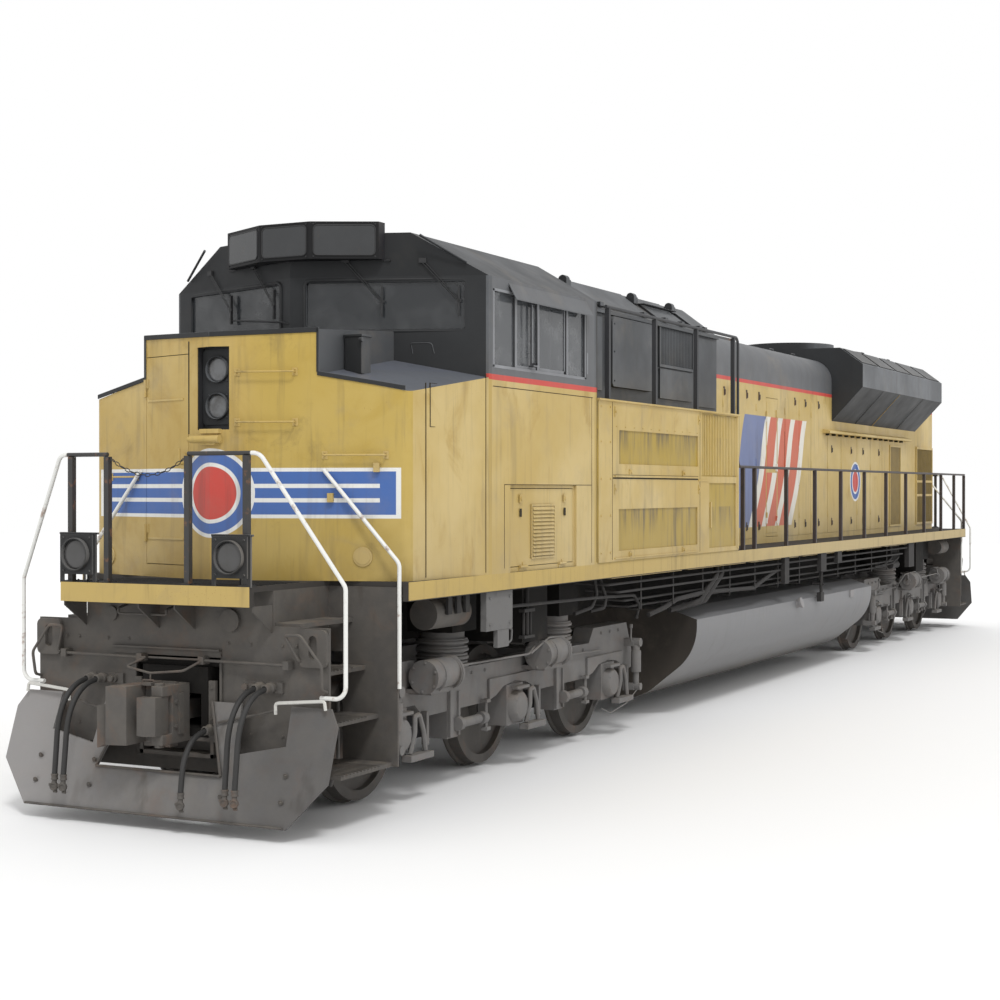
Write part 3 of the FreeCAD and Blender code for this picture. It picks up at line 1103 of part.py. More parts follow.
piece("equipment_housing", cut("EquipmentHousing", prism("HousingSolid", "XZ", housing_profile, HOUSING_RUN),
                               [prism("HousingSpace", "XZ", housing_space,
                                      inset(HOUSING_RUN, "cabinetWall"))]))


# engine hood: rounded upper edges, hollow, with one hinged door on each side
def hood_volume(label, gap, run):
    section = [(f"-hoodHalf + {gap}", "deckTop"), (f"hoodHalf - {gap}", "deckTop"),
               (f"hoodHalf - {gap}", f"hoodTop - {gap}"), (f"-hoodHalf + {gap}", f"hoodTop - {gap}")]
    limit = size("hoodTop") - 200
    return rounded("HoodVolume" + label, prism("HoodSection" + label, "XZ", section, run),
                   size("hoodRound") - (size("hoodWall") if gap != "0" else 0),
                   lambda mid, way: abs(way.y) > 0.9 and mid.z > limit)


DOOR_RUN = ("engineDoorFront", "engineDoorRear")
DOOR_RISE = ("engineDoorBase", "engineDoorTop")
hood_tools = [hood_volume("Inner", "hoodWall", ("-cabinetRear + hoodWall", "hoodRear - hoodWall")),
              block("RadiatorSpace", ("-radiatorHalf", "radiatorHalf"),
                    ("radiatorFront", "radiatorRear"), ("radiatorRoot", "hoodTop + 100"))]
hood_fixed = []
for label, side in SIDES:
    surface = "hoodHalf" if side > 0 else "-hoodHalf"
    hood_tools.append(block("EngineWay" + label, sided(side, ("hoodHalf - 2 * hoodWall", "hoodHalf + 10")),
                            DOOR_RUN, DOOR_RISE))
    fixed, moving = hinges("EngineHinge" + label, "xyz", side, 1, surface, "engineDoorFront",
                           ("engineDoorBase + 250", "engineDoorTop - 250"))
    hood_fixed += fixed
    leaf = block("EngineLeaf" + label, sided(side, ("hoodHalf - doorThickness", "hoodHalf")),
                 inset(DOOR_RUN, "doorGap"), inset(DOOR_RISE, "doorGap"))
    piece(f"{label.lower()}_engine_door", join("EngineDoor" + label, [leaf] + moving))
hood = cut("HoodCut", hood_volume("Outer", "0", ("-cabinetRear", "hoodRear")), hood_tools)
piece("engine_hood", join("EngineHood", [hood] + hood_fixed))
piece("engine_block", block("EngineBlock", ("-engineHalf", "engineHalf"), ("-engineFront", "engineRear"),
                            ("deckTop", "engineTop")))

# radiator housing that overhangs the hood, with three fans under ringed openings
radiator_profile = [("radiatorRootHalf", "radiatorRoot"), ("radiatorHalf", "radiatorSideBase"),
                    ("radiatorHalf", "radiatorSideTop"), ("radiatorRoofHalf", "radiatorTop"),
                    ("-radiatorRoofHalf", "radiatorTop"), ("-radiatorHalf", "radiatorSideTop"),
                    ("-radiatorHalf", "radiatorSideBase"), ("-radiatorRootHalf", "radiatorRoot")]
radiator_space = [("radiatorRootHalf - hoodWall", "radiatorRoot + hoodWall"),
                  ("radiatorHalf - hoodWall", "radiatorSideBase + hoodWall / 2"),
                  ("radiatorHalf - hoodWall", "radiatorSideTop - hoodWall / 2"),
                  ("radiatorRoofHalf - hoodWall / 2", "radiatorTop - hoodWall"),
                  ("-radiatorRoofHalf + hoodWall / 2", "radiatorTop - hoodWall"),
                  ("-radiatorHalf + hoodWall", "radiatorSideTop - hoodWall / 2"),
                  ("-radiatorHalf + hoodWall", "radiatorSideBase + hoodWall / 2"),
                  ("-radiatorRootHalf + hoodWall", "radiatorRoot + hoodWall")]
RADIATOR_RUN = ("radiatorFront", "radiatorRear")
radiator_shell = cut("RadiatorShell", prism("RadiatorSolid", "XZ", radiator_profile, RADIATOR_RUN),
                     [prism("RadiatorSpaceSolid", "XZ", radiator_space,
                            inset(RADIATOR_RUN, "hoodWall"))])
FAN_PLACES = [f"fanFirst + {index} * fanPitch" for index in range(3)]
FAN_CLEAR = "fanRadius + fanTipGap"
rings = []
openings = []
bridges = []
for number, place in enumerate(FAN_PLACES, 1):
    rings.append(rod(f"FanRing{number}", "z", ("fanBase - bridgeDepth", "fanRingTop"),
                     ("0", place), f"{FAN_CLEAR} + fanRing"))
    openings.append(rod(f"FanOpening{number}", "z", ("fanBase - bridgeDepth - 10", "fanRingTop + 10"),
                        ("0", place), FAN_CLEAR))
    bridges.append(block(f"FanBridge{number}", middle("0", f"{FAN_CLEAR} + 10"),
                         middle(place, "fanHubRadius / 2"),
                         ("fanBase - bridgeDepth", "fanBase - seatGap")))
radiator_open = cut("RadiatorOpen", join("RadiatorRinged", [radiator_shell] + rings), openings)
piece("radiator_housing", join("RadiatorHousing", [radiator_open] + bridges))


def fan(number, place):
    """A hub with a shaft and nine blades, each a tilted plate."""
    hub = rod(f"FanHub{number}", "z", ("fanBase", "fanBase + fanDepth"), ("0", place), "fanHubRadius")
    span = size("fanRadius") - size("fanHubRadius")
    blades = []
    for index in range(9):
        blade = Part.makeBox(span + 20, 190, 8, Vector(size("fanHubRadius") - 20, -95, -4))
        blade.rotate(Vector(), Vector(1, 0, 0), 28)
        blade = blade.common(Part.makeCylinder(size("fanRadius"), 300, Vector(0, 0, -150)))
        blade.rotate(Vector(), Vector(0, 0, 1), 40 * index)
        blades.append(blade)
    rotor = blades[0].multiFuse(blades[1:])
    vanes = feature(f"FanBlades{number}", rotor)
    bind(vanes, "Placement.Base.y", place)
    bind(vanes, "Placement.Base.z", "fanBase + fanDepth / 2")
    piece(f"radiator_fan_{number}", join(f"RadiatorFan{number}", [hub, vanes]))


for number, place in enumerate(FAN_PLACES, 1):
    fan(number, place)

# exhaust stack on the hood roof, and air reservoirs under the deck
piece("exhaust_stack", block("ExhaustStack", ("-stackHalf", "stackHalf"), ("stackFront", "stackRear"),
                             ("hoodTop", "hoodTop + stackHeight")))
reservoirs = []
for end_label, end in ENDS:
    for label, side in SIDES:
        run = sided(end, ("reservoirStart", "reservoirEnd"))
        key = end_label + label
        tank_parts = [rod("Reservoir" + key, "y", run, (f"{side} * reservoirPlace", "reservoirHeight"),
                          "reservoirRadius")]
        for number, share in enumerate(("0.2", "0.8")):
            strap = f"{run[0]} + {share} * (reservoirEnd - reservoirStart)"
            tank_parts.append(block(f"Strap{key}{number}", middle(f"{side} * reservoirPlace", "40"),
                                    middle(strap, "25"), ("reservoirHeight", UNDER_DECK)))
        reservoirs.append(join("ReservoirHung" + key, tank_parts))
piece("air_reservoirs", group("AirReservoirs", reservoirs))


# handrails: bent tubes carried by posts
def point(x, y, z):
    """A point from numbers or from the sheet's names."""
    return Vector(*(size(value) if isinstance(value, str) else value for value in (x, y, z)))


def rail(name, points):
    bends = [size("railBend")] * (len(points) - 2)
    return feature(name, tube_shape(points, size("railRadius"), bends))


def post(name, x, y, low, high):
    half = "postWidth / 2"
    return block(name, middle(x, half), middle(y, half), (low, high))


# a post stops just short of the tube that it carries
def under(level):
    return f"{level} - railRadius - seatGap"


side_rails = []
for label, side in SIDES:
    place = f"{side} * railPlace"
    spots = [f"firstPost + {index} * postPitch" for index in range(9)]
    spots += ["railRear - postPitch * 0.7", "railRear - postWidth"]
    reach = side * size("railPlace")
    rear = [point(reach, size("railRear"), size("railTop"))]
    if side > 0:
        spots.append("-railFront + 2 * railBend")
        front = [point(reach, -size("cabRear") + 250, size("upperRail")),
                 point(reach, -size("railFront"), size("upperRail")),
                 point(reach, -size("railFront"), size("railTop"))]
        side_rails += [post(f"UpperPost{index}", place, f"-cabRear + 300 + {index} * upperPitch",
                            "cabinetTop", under("upperRail")) for index in range(4)]
    else:
        spots += [f"-rightRailFront + 400 + {index} * (firstPost + rightRailFront - 400) / 3"
                  for index in range(3)]
        front = [point(reach, -size("rightRailFront"), size("railTop"))]
    side_rails += [post(f"SidePost{label}{index}", place, spot, "deckTop", under("railTop"))
                   for index, spot in enumerate(spots)]
    side_rails.append(rail("SideTube" + label, front + rear))
piece("side_handrails", group("SideHandrails", side_rails))


# end handrails: four posts with a top rail each side of the walk-through gap, and
# the bent grab rails that run down outside the steps
def end_rails(label, end):
    parts = []
    edge = end * (size("platformEnd") - 60)
    top = size("railTop")
    outside = size("stepOuter") + size("stepPost") + size("railRadius")
    for number, (outer, inner) in enumerate((("endPostOuter", "endPostGap"),
                                             ("-endPostOuter", "-endPostInner"))):
        parts += [post(f"EndPost{label}{number}{index}", f"{-end} * ({place})",
                       f"{end} * (platformEnd - 60)", "deckTop", under("railTop"))
                  for index, place in enumerate((outer, inner))]
        sign = -end * (1 if number == 0 else -1)
        start = Vector(sign * (size("endPostOuter") + size("railBend") + 20), edge, top)
        stop = Vector(sign * size("endPostGap" if number == 0 else "endPostInner"), edge, top)
        plane = end * (size("pilotPlane") + size("railRadius") + size("seatGap"))
        down = Vector(sign * outside, plane, size("deckTop"))
        low = Vector(sign * outside, plane, size("grabBase"))
        foot = Vector(sign * (size("pilotHalfWidth") - 60), plane, size("grabBase"))
        parts.append(rail(f"EndRail{label}{number}", [stop, start, down, low, foot]))
    for number, side in enumerate((-1, 1)):
        away = end * (size("sillEnd") + size("railRadius") + 6)
        root = Vector(side * (size("hoodHalf") - 100), end * size("sillEnd") * 1.02, size("grabTop"))
        if end < 0:
            facet = -size("noseTip") + abs(root.x) * size("noseSlope")
            root = Vector(root.x, facet - size("railRadius") * 1.1, root.z)
        low = Vector(side * outside, away, size("grabBase"))
        head = Vector(side * outside, away, size("grabTurn"))
        parts.append(rail(f"StepGrab{label}{number}", [root, head, low]))
    return parts


piece("end_handrails", group("EndHandrails", end_rails("Front", -1) + end_rails("Rear", 1)))


# train line hoses on the front pilot. A route is (out from the pilot plate, height);
# columns: name, place of the port across the pilot, sideways drift to its end, route
LONG_ROUTE = ((50, 1055), (180, 1055), (318, 990), (408, 872), (450, 730), (458, 560), (470, 375))
BRAKE_ROUTE = ((50, 722), (170, 722), (300, 668), (385, 560), (425, 435), (442, 315))
HOSES = (("main_reservoir_hose_right", -760, -22, LONG_ROUTE),
         ("control_hose_right", -668, -30, LONG_ROUTE),
         ("brake_pipe_hose", 345, 12, BRAKE_ROUTE),
         ("control_hose_left", 782, -18, LONG_ROUTE),
         ("main_reservoir_hose_left", 874, -26, LONG_ROUTE))


def tangent_bends(points, share=0.45):
    """The largest even radii: share of the shorter run, over the tangent of half the turn."""
    bends = []
    for before, corner, after in zip(points, points[1:], points[2:]):
        run = min((corner - before).Length, (after - corner).Length)
        turn = (corner - before).getAngle(after - corner)
        bends.append(share * run / math.tan(turn / 2))
    return bends


hands = []
for node, place, drift, route in HOSES:
    plate = -size("pilotPlane")
    base, top = route[-1][1], route[0][1]
    points = [Vector(place + drift * (top - level) / (top - base), plate - out, level)
              for out, level in route]
    bends = tangent_bends(points)
    shape = tube_shape(points, size("hoseRadius"), bends)
    piece(node, feature("Hose" + node, shape))
    length = bent_path(points, bends).Length
    volume = math.pi * size("hoseRadius") ** 2 * length
    print(node, "radii", [round(bend) for bend in bends], "length", round(length),
          "volume ratio", round(shape.Volume / volume, 4))
    end = points[-1]
    way = (end - points[-2]).normalize()
    collar = Part.makeCylinder(size("hoseRadius") + 6, 55, end, way)
    half = size("handHalf")
    hand = Part.makeBox(2 * half, 90, size("handLength") - 50,
                        Vector(end.x - half, end.y - 50, end.z - size("handLength")))
    hands.append(feature("Hand" + node, collar.fuse(hand)))
piece("hose_couplings", group("HoseCouplings", hands))

manifolds = []
for number, (spots, level) in enumerate((((-760, -668, -576), 1055), ((690, 782, 874), 1055))):
    plate = block(f"Manifold{number}", middle(str(spots[1]), "manifoldHalf"),
                  ("-pilotPlane - manifoldDepth", "-pilotPlane"), middle(str(level), "40"))
    plugs = [rod(f"Plug{number}{index}", "y", ("-pilotPlane - portReach", "-pilotPlane"),
                 (str(spot), str(level)), "portRadius") for index, spot in enumerate(spots)]
    manifolds.append(join(f"ManifoldPorts{number}", [plate] + plugs))
brake_ear = block("BrakeEar", ("345 - portRadius", "pilotMouthHalf + 2 * portRadius"),
                  ("-pilotPlane - manifoldDepth", "-pilotPlane"), middle("722", "portRadius + 5"))
brake_port = rod("BrakePort", "y", ("-pilotPlane - portReach", "-pilotPlane"),
                 ("345", "722"), "portRadius")
manifolds.append(join("BrakePorts", [brake_ear, brake_port]))
front_ports = group("FrontPorts", manifolds)
piece("hose_ports", group("HosePorts", [front_ports, mirrored("RearPorts", front_ports, (0, 1, 0))]))


# every object must have computed, and every sub-part must be a valid shape
doc.recompute()
for item in doc.Objects:
    if "Invalid" in item.State or "Error" in item.State:
        raise RuntimeError(f"{item.Label} failed to compute: {item.State}")
for node, item in pieces.items():
    if item.Shape.isNull() or not item.Shape.isValid():
        raise RuntimeError(f"{node} isn't a valid shape")

os.makedirs("parts", exist_ok=True)
for node, item in pieces.items():
    item.Shape.exportStep(f"parts/{node}.step")
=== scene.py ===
# A weathered diesel road locomotive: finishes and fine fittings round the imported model.
import math

import bmesh
import bpy
from mathutils import Matrix, Vector


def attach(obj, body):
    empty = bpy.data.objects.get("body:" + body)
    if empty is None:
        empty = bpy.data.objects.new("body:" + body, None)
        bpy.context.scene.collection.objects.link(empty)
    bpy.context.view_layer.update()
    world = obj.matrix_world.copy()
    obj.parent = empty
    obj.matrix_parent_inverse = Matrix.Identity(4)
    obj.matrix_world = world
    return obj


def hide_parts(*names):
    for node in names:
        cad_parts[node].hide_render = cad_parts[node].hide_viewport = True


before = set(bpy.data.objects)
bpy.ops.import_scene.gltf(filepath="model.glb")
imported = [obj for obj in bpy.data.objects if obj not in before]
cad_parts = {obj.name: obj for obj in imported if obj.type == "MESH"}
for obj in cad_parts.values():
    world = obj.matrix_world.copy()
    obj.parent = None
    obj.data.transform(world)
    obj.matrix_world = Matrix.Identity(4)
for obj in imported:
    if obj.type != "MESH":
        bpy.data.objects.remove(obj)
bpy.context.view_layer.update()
bpy.ops.object.select_all(action="DESELECT")
scene = bpy.context.scene
print("frame loaded")

# the camera stands off the front left corner, at about eye level
view = {
    "place": (7.99647, -21.35657, 2.49569),
    "turn": (89.661, 0.0, 26.616),  # degrees
    "lens": 62.43,
    "sensor": 36,
    "reach": (0.1, 500),
}
camera = bpy.data.objects.new("camera", bpy.data.cameras.new("camera"))
scene.collection.objects.link(camera)
camera.location = view["place"]
camera.rotation_euler = [math.radians(angle) for angle in view["turn"]]
camera.data.lens = view["lens"]
camera.data.sensor_width = view["sensor"]
camera.data.clip_start, camera.data.clip_end = view["reach"]
scene.camera = camera
scene.view_settings.view_transform = "Standard"
print("camera placed")


# what a wire does with one Math node; the wire comes first, or last when swapped
def mathStep(operation, swap=False):
    def made(wire, *others):
        parts = [*others, wire] if swap else [wire, *others]
        return wire.sheet.add("Math", dict(enumerate(parts)), {"operation": operation})
    return made


# a socket that can be added, multiplied and so on
class Wire:
    __add__ = __radd__ = mathStep("ADD")
    __sub__ = mathStep("SUBTRACT")
    __rsub__ = mathStep("SUBTRACT", swap=True)
    __mul__ = __rmul__ = mathStep("MULTIPLY")
    __abs__ = mathStep("ABSOLUTE")
    __pow__ = mathStep("POWER")
    __gt__ = mathStep("GREATER_THAN")
    __lt__ = mathStep("LESS_THAN")
    larger = mathStep("MAXIMUM")
    smaller = mathStep("MINIMUM")
    sine = mathStep("SINE")

    def __init__(self, sheet, socket):
        self.sheet = sheet
        self.socket = socket

    # 0 below one value and 1 above another, smooth between; the other way round if they fall
    def rise(self, low, high):
        ends = sorted((low, high))
        made = self.sheet.add("MapRange", {"Value": self, "From Min": ends[0], "From Max": ends[1]},
                              {"interpolation_type": "SMOOTHSTEP"})
        return 1 - made if low > high else made

    # 1 between two values, with soft edges
    def within(self, low, high, soft=0.004):
        return self.rise(low - soft, low + soft) * self.rise(high + soft, high - soft)


# one material: its nodes, and the patterns that the finishes share
class Paint:
    def __init__(self, name):
        self.material = bpy.data.materials.new(name)
        self.material.use_nodes = True
        self.nodes, self.links = self.material.node_tree.nodes, self.material.node_tree.links
        self.nodes.clear()
        self.shader = self.nodes.new("ShaderNodeBsdfPrincipled")
        self.links.new(self.shader.outputs[0], self.nodes.new("ShaderNodeOutputMaterial").inputs[0])
        self.place = self.add("TexCoord", outlet="Object")
        self.x, self.y, self.z = self.split(self.place)

    def join(self, socket, value):
        if isinstance(value, Wire):
            self.links.new(value.socket, socket)
        else:
            socket.default_value = value

    def add(self, kind, sockets=(), settings=(), outlet=0):
        node = self.nodes.new("ShaderNode" + kind)
        for key, value in dict(settings).items():
            setattr(node, key, value)
        for key, value in dict(sockets).items():
            self.join(node.inputs[key], value)
        return Wire(self, node.outputs[outlet])

    def split(self, vector):
        parts = self.nodes.new("ShaderNodeSeparateXYZ")
        self.links.new(vector.socket, parts.inputs[0])
        return [Wire(self, outlet) for outlet in parts.outputs]

    def noise(self, scale, detail=3.0, rough=0.55, stretch=None, warp=0.0):
        where = self.add("Mapping", {"Vector": self.place, "Scale": stretch}) if stretch else self.place
        return self.add("TexNoise", {"Vector": where, "Scale": scale, "Detail": detail,
                                     "Roughness": rough, "Distortion": warp})

    def blend(self, share, first, second):
        return self.add("Mix", {0: share, 6: self.tone(first), 7: self.tone(second)},
                        {"data_type": "RGBA"}, outlet=2)

    def tone(self, value):
        if isinstance(value, Wire):
            return value
        return (*(colours[value] if isinstance(value, str) else value), 1)

    def facing(self):
        return self.split(self.add("TexCoord", outlet="Normal"))

    def bump(self, height, depth, strength):
        self.join(self.shader.inputs["Normal"],
                  self.add("Bump", {"Height": height, "Distance": depth, "Strength": strength}))

    def done(self, colour, roughness, metallic=0.0, **others):
        others |= {"Base Color": self.tone(colour), "Roughness": roughness, "Metallic": metallic}
        for key, value in others.items():
            self.join(self.shader.inputs[key], value)
        return self.material


colours = {
    "yellow": (0.46, 0.325, 0.095),
    "yellowPale": (0.54, 0.41, 0.17),
    "yellowWorn": (0.35, 0.215, 0.030),
    "grey": (0.075, 0.079, 0.084),
    "roof": (0.100, 0.104, 0.110),
    "greyPale": (0.19, 0.195, 0.205),
    "black": (0.018, 0.018, 0.02),
    "red": (0.52, 0.055, 0.04),
    "white": (0.72, 0.72, 0.69),
    "blue": (0.045, 0.12, 0.36),
    "grime": (0.055, 0.045, 0.036),
    "dust": (0.21, 0.18, 0.14),
    "rust": (0.20, 0.085, 0.032),
    "running": (0.050, 0.046, 0.042),
    "beam": (0.095, 0.092, 0.090),
    "tank": (0.17, 0.17, 0.175),
}


# vertical runs of dirt, and blotches of it that grow towards the rails
def weather(paint, colour, streaks, blotches, low, high):
    runs = paint.noise(5.0, 4, 0.62, (1, 1, 0.10), 0.35)
    runs = runs.rise(0.52, 0.74) * paint.noise(0.9, 2).rise(0.38, 0.62)
    fine = paint.noise(19.0, 3, 0.6, (1, 1, 0.06)).rise(0.54, 0.72)
    colour = paint.blend((runs * 0.75 + fine * 0.30) * streaks, colour, "grime")
    cloud = paint.noise(1.7, 6, 0.66, None, 0.6).rise(0.50, 0.78)
    colour = paint.blend(cloud * blotches, colour, "dust")
    depth = paint.z.rise(high, low) * (0.35 + 0.65 * paint.noise(2.6, 5, 0.6))
    colour = paint.blend(depth * blotches * 0.75, colour, "dust")
    cells = paint.add("TexVoronoi", {"Vector": paint.place, "Scale": 42})
    specks = cells.rise(0.16, 0.05) * paint.noise(3.1, 3).rise(0.52, 0.66)
    return paint.blend(specks * 0.6, colour, "rust")


# dented sheet metal under any paint
def sheetMetal(paint, colour, rough, swing):
    paint.bump(paint.noise(2.2, 2) * 0.8 + paint.noise(60, 2) * 0.05, 0.004, 0.35)
    return paint.done(colour, rough + swing * paint.noise(3.3, 4))


def yellowPaint(name, upper=None, streaks=0.5, blotches=0.32, marks=None, within=None):
    paint = Paint(name)
    base = paint.blend(paint.noise(0.8, 4, 0.6).rise(0.34, 0.70), "yellow", "yellowPale")
    darkerYellow = paint.noise(2.3, 5, 0.65, (1, 1, 0.5), 0.8).rise(0.56, 0.72)
    base = paint.blend(darkerYellow * 0.5, base, "yellowWorn")
    if upper:  # a red line, and grey above it
        base = paint.blend(paint.z.rise(upper - 0.002, upper + 0.002), base, "red")
        base = paint.blend(paint.z.rise(upper + 0.045, upper + 0.049), base, "roof")
    if marks:
        base = marks(paint, base)
    colour = weather(paint, base, streaks, blotches, 1.8, 2.7)
    if within:  # the inner side of a wall
        colour = paint.blend(abs(paint.x) < within, colour, (0.17, 0.19, 0.18))
    return sheetMetal(paint, colour, 0.42, 0.25)


def greyPaint(name, tone="grey", streaks=0.45, blotches=0.35, low=2.0, high=4.4, light=1.0, edge=None):
    paint = Paint(name)
    # light scales the grey's tone for a whole part: painted light and shade
    dark, pale = (tuple(value * share for value in colours[tone]) for share in (light, light * 1.55))
    base = paint.blend(paint.noise(1.1, 5, 0.6).rise(0.35, 0.7), dark, pale)
    _, along, up = paint.facing()
    # painted shade: faces turned to the ends and downwards are darkened
    shade = abs(along).rise(0.45, 0.90).larger(up.rise(-0.2, -0.7))  # ends and undersides stay dark
    if edge:  # the ends of a wall carry on the stripe and the yellow of the sides
        side = abs(paint.x) > edge
        for top, tint in ((3.447, "red"), (3.402, "yellow")):
            base = paint.blend(side * (paint.z < top), base, tint)
        shade = shade * (1 - side)
    colour = weather(paint, base, streaks, blotches * 0.8, low, high)
    # the painted shade is laid over the weathered colour
    colour = paint.blend(shade * 0.86, colour, tuple(value * 0.14 for value in colours[tone]))
    paint.shader.inputs["Specular IOR Level"].default_value = 0.25
    return sheetMetal(paint, colour, 0.40, 0.30)


# cast and rolled running gear: brake dust, rust in patches, oil on the low parts
def ironFinish(name, tone="running", rust=0.45, dust=0.45, paintedSideLight=False):
    paint = Paint(name)
    base = paint.blend(paint.noise(4.2, 6, 0.65), tone, tuple(value * 1.9 for value in colours[tone]))
    patches = paint.noise(2.9, 7, 0.68, None, 0.7).rise(0.50, 0.70)
    base = paint.blend(patches * rust, base, "rust")
    film = (0.25 + 0.75 * paint.facing()[2].rise(0.2, 0.95)) * paint.noise(7.0, 4).rise(0.25, 0.7)
    base = paint.blend(film * dust, base, "dust")
    oil = paint.noise(3.6, 4, 0.6, (1, 1, 0.25)).rise(0.58, 0.72)
    base = paint.blend(oil * 0.6, base, "grime")
    # painted light and shade across the width
    if paintedSideLight:  # paler towards the right, darker towards the left
        base = paint.blend(paint.x.rise(-0.20, -1.35) * 0.75, base, (0.27, 0.26, 0.255))
        base = paint.blend(paint.x.rise(0.35, 1.15) * 0.45, base, (0.03, 0.028, 0.027))
    paint.bump(paint.noise(46, 5, 0.7) * 0.6 + paint.noise(9, 3), 0.003, 0.5)
    return paint.done(base, 0.78 - 0.28 * oil)


def plainFinish(name, tone, rough=0.5, shade=0.35, grain=55.0, metallic=0.0):
    paint = Paint(name)
    base = paint.blend(paint.noise(6, 5, 0.6), tone, tuple(value * (1 - shade) for value in tone))
    base = paint.blend(paint.noise(13, 4, 0.6).rise(0.60, 0.75) * 0.35, base, "grime")
    paint.bump(paint.noise(grain, 3), 0.0015, 0.35)
    return paint.done(base, rough + 0.12 * paint.noise(9, 3), metallic)


def pick(objects):
    bpy.ops.object.select_all(action="DESELECT")
    for item in objects:
        item.select_set(True)
    bpy.context.view_layer.objects.active = objects[-1]


def settle(item):
    pick([item])
    bpy.ops.object.transform_apply(location=True, rotation=True, scale=True)
    return item


def edit(item, steps):
    pick([item])
    bpy.ops.object.mode_set(mode="EDIT")
    bpy.ops.mesh.select_all(action="SELECT")
    steps()
    bpy.ops.object.mode_set(mode="OBJECT")
    return item


def outward():
    bpy.ops.mesh.select_all(action="SELECT")
    bpy.ops.mesh.remove_doubles(threshold=0.0002)
    bpy.ops.mesh.normals_make_consistent(inside=False)


# a box between two corners
def block(low, high):
    low, high = Vector(low), Vector(high)
    bpy.ops.mesh.primitive_cube_add(size=1, location=(low + high) / 2, scale=high - low)
    return settle(bpy.context.object)


# boxes, each given as (x, x, y, y, z, z)
def boxes(*rows):
    return [block(row[::2], row[1::2]) for row in rows]


# a round bar from one point to another; the far end may be narrower
def bar(start, end, radius, sides=16, tip=None):
    start, end = Vector(start), Vector(end)
    bpy.ops.mesh.primitive_cone_add(vertices=sides, radius1=radius, radius2=radius if tip is None else tip,
                                    depth=(end - start).length, location=(start + end) / 2,
                                    rotation=(end - start).to_track_quat("Z", "Y").to_euler())
    return settle(bpy.context.object)


# round bars in one direction, "x", "y" or "z"; each row is a start, a length, a radius and the sides
def bars(way, *rows):
    made = []
    for x, y, z, length, radius, sides in rows:
        end = [place + length * (letter == way) for place, letter in zip((x, y, z), "xyz")]
        made.append(bar((x, y, z), end, radius, sides))
    return made


def ring(corners, fill="NOTHING"):
    bpy.ops.mesh.primitive_circle_add(vertices=len(corners), radius=1, fill_type=fill)
    for spot, corner in zip(bpy.context.object.data.vertices, corners):
        spot.co = corner
    return bpy.context.object


# a flat outline pushed into a plate
def plate(corners, push):
    made = ring(corners, "NGON")
    edit(made, lambda: bpy.ops.mesh.extrude_region_move(TRANSFORM_OT_translate={"value": push}))
    return edit(made, outward)


# a round piece: an outline of (along, radius) spun about a line through a point
def spun(outline, centre, axis, sides=32):
    centre, axis = Vector(centre), Vector(axis).normalized()
    across = axis.orthogonal().normalized()
    made = ring([centre + axis * along + across * radius for along, radius in outline])

    def steps():
        bpy.ops.mesh.select_all(action="DESELECT")
        mesh = bmesh.from_edit_mesh(made.data)
        mesh.verts.ensure_lookup_table()
        pair = {mesh.verts[-1], mesh.verts[0]}
        if outline[0] != outline[-1]:  # an open outline loses its closing edge
            mesh.edges.remove([link for link in mesh.edges if set(link.verts) == pair][0])
        bmesh.update_edit_mesh(made.data)
        bpy.ops.mesh.select_all(action="SELECT")
        bpy.ops.mesh.spin(steps=sides, angle=2 * math.pi, center=centre, axis=axis)
        outward()

    return edit(made, steps)


# a round section carried along some points, as a curve
def curve(name, points, radius, kind="NURBS", section=1, fineness=4):
    line = bpy.data.curves.new(name, "CURVE")
    line.dimensions = "3D"
    line.bevel_depth = radius
    line.bevel_resolution = section
    line.resolution_u = fineness
    spline = line.splines.new(kind)
    spline.points.add(len(points) - 1)
    for spot, point in zip(spline.points, points):
        spot.co = (*point, 1)
    spline.order_u = 3
    spline.use_endpoint_u = True
    spline.use_cyclic_u = kind == "POLY"
    line.use_fill_caps = kind != "POLY"
    made = bpy.data.objects.new(name, line)
    scene.collection.objects.link(made)
    pick([made])
    return made


# a bent tube through some corners, each turned over a short length
def tube(corners, radius, turn=0.06):
    corners = [Vector(corner) for corner in corners]
    path = [corners[0]]
    for before, corner, after in zip(corners, corners[1:], corners[2:]):
        start, end = (corner + (other - corner).normalized() * min(turn, (other - corner).length * 0.45)
                      for other in (before, after))
        path += [start, corner, end]
    curve("tube", path + corners[-1:], radius)
    bpy.ops.object.convert(target="MESH")
    return bpy.context.object


# a closed loop of round section
def loopTube(corners, radius, section=2):
    curve("loop", corners, radius, "POLY", section)
    bpy.ops.object.convert(target="MESH")
    return bpy.context.object


# copies with their own meshes
def copyBy(item, matrix, flip=False):
    made = item.copy()
    made.data = item.data.copy()
    made.data.transform(matrix)
    if flip:
        made.data.flip_normals()
    scene.collection.objects.link(made)
    return made


def mirroredCopies(items, axis="x"):
    way = [letter == axis for letter in "xyz"]
    return [copyBy(item, Matrix.Scale(-1, 4, way), flip=True) for item in items]


def mirroredAll(items, axis="x"):
    return items + mirroredCopies(items, axis)


def turnedCopies(items):
    return [copyBy(item, Matrix.Rotation(math.pi, 4, "Z")) for item in items]


# a hexagon bolt head with its washer, and one copy at each place
def bolts(places, way, radius):
    way = Vector(way).normalized()
    pair = [bar((0, 0, 0), way * radius * 0.9, radius, 6, radius * 0.86),
            bar((0, 0, 0), way * radius * 0.25, radius * 1.35, 10)]
    made = [copyBy(item, Matrix.Translation(Vector(place))) for place in places for item in pair]
    for item in pair:
        bpy.data.objects.remove(item)
    return made


# holes cut out of a part, as deep as the cutters reach
def cutBy(item, cutters):
    pick(cutters)
    if len(cutters) > 1:
        bpy.ops.object.join()
    cutter = bpy.context.object
    pick([item])
    hole = item.modifiers.new("hole", "BOOLEAN")
    hole.operation = "DIFFERENCE"
    hole.object = cutter
    bpy.ops.object.modifier_apply(modifier="hole")
    bpy.data.objects.remove(cutter)
    return item


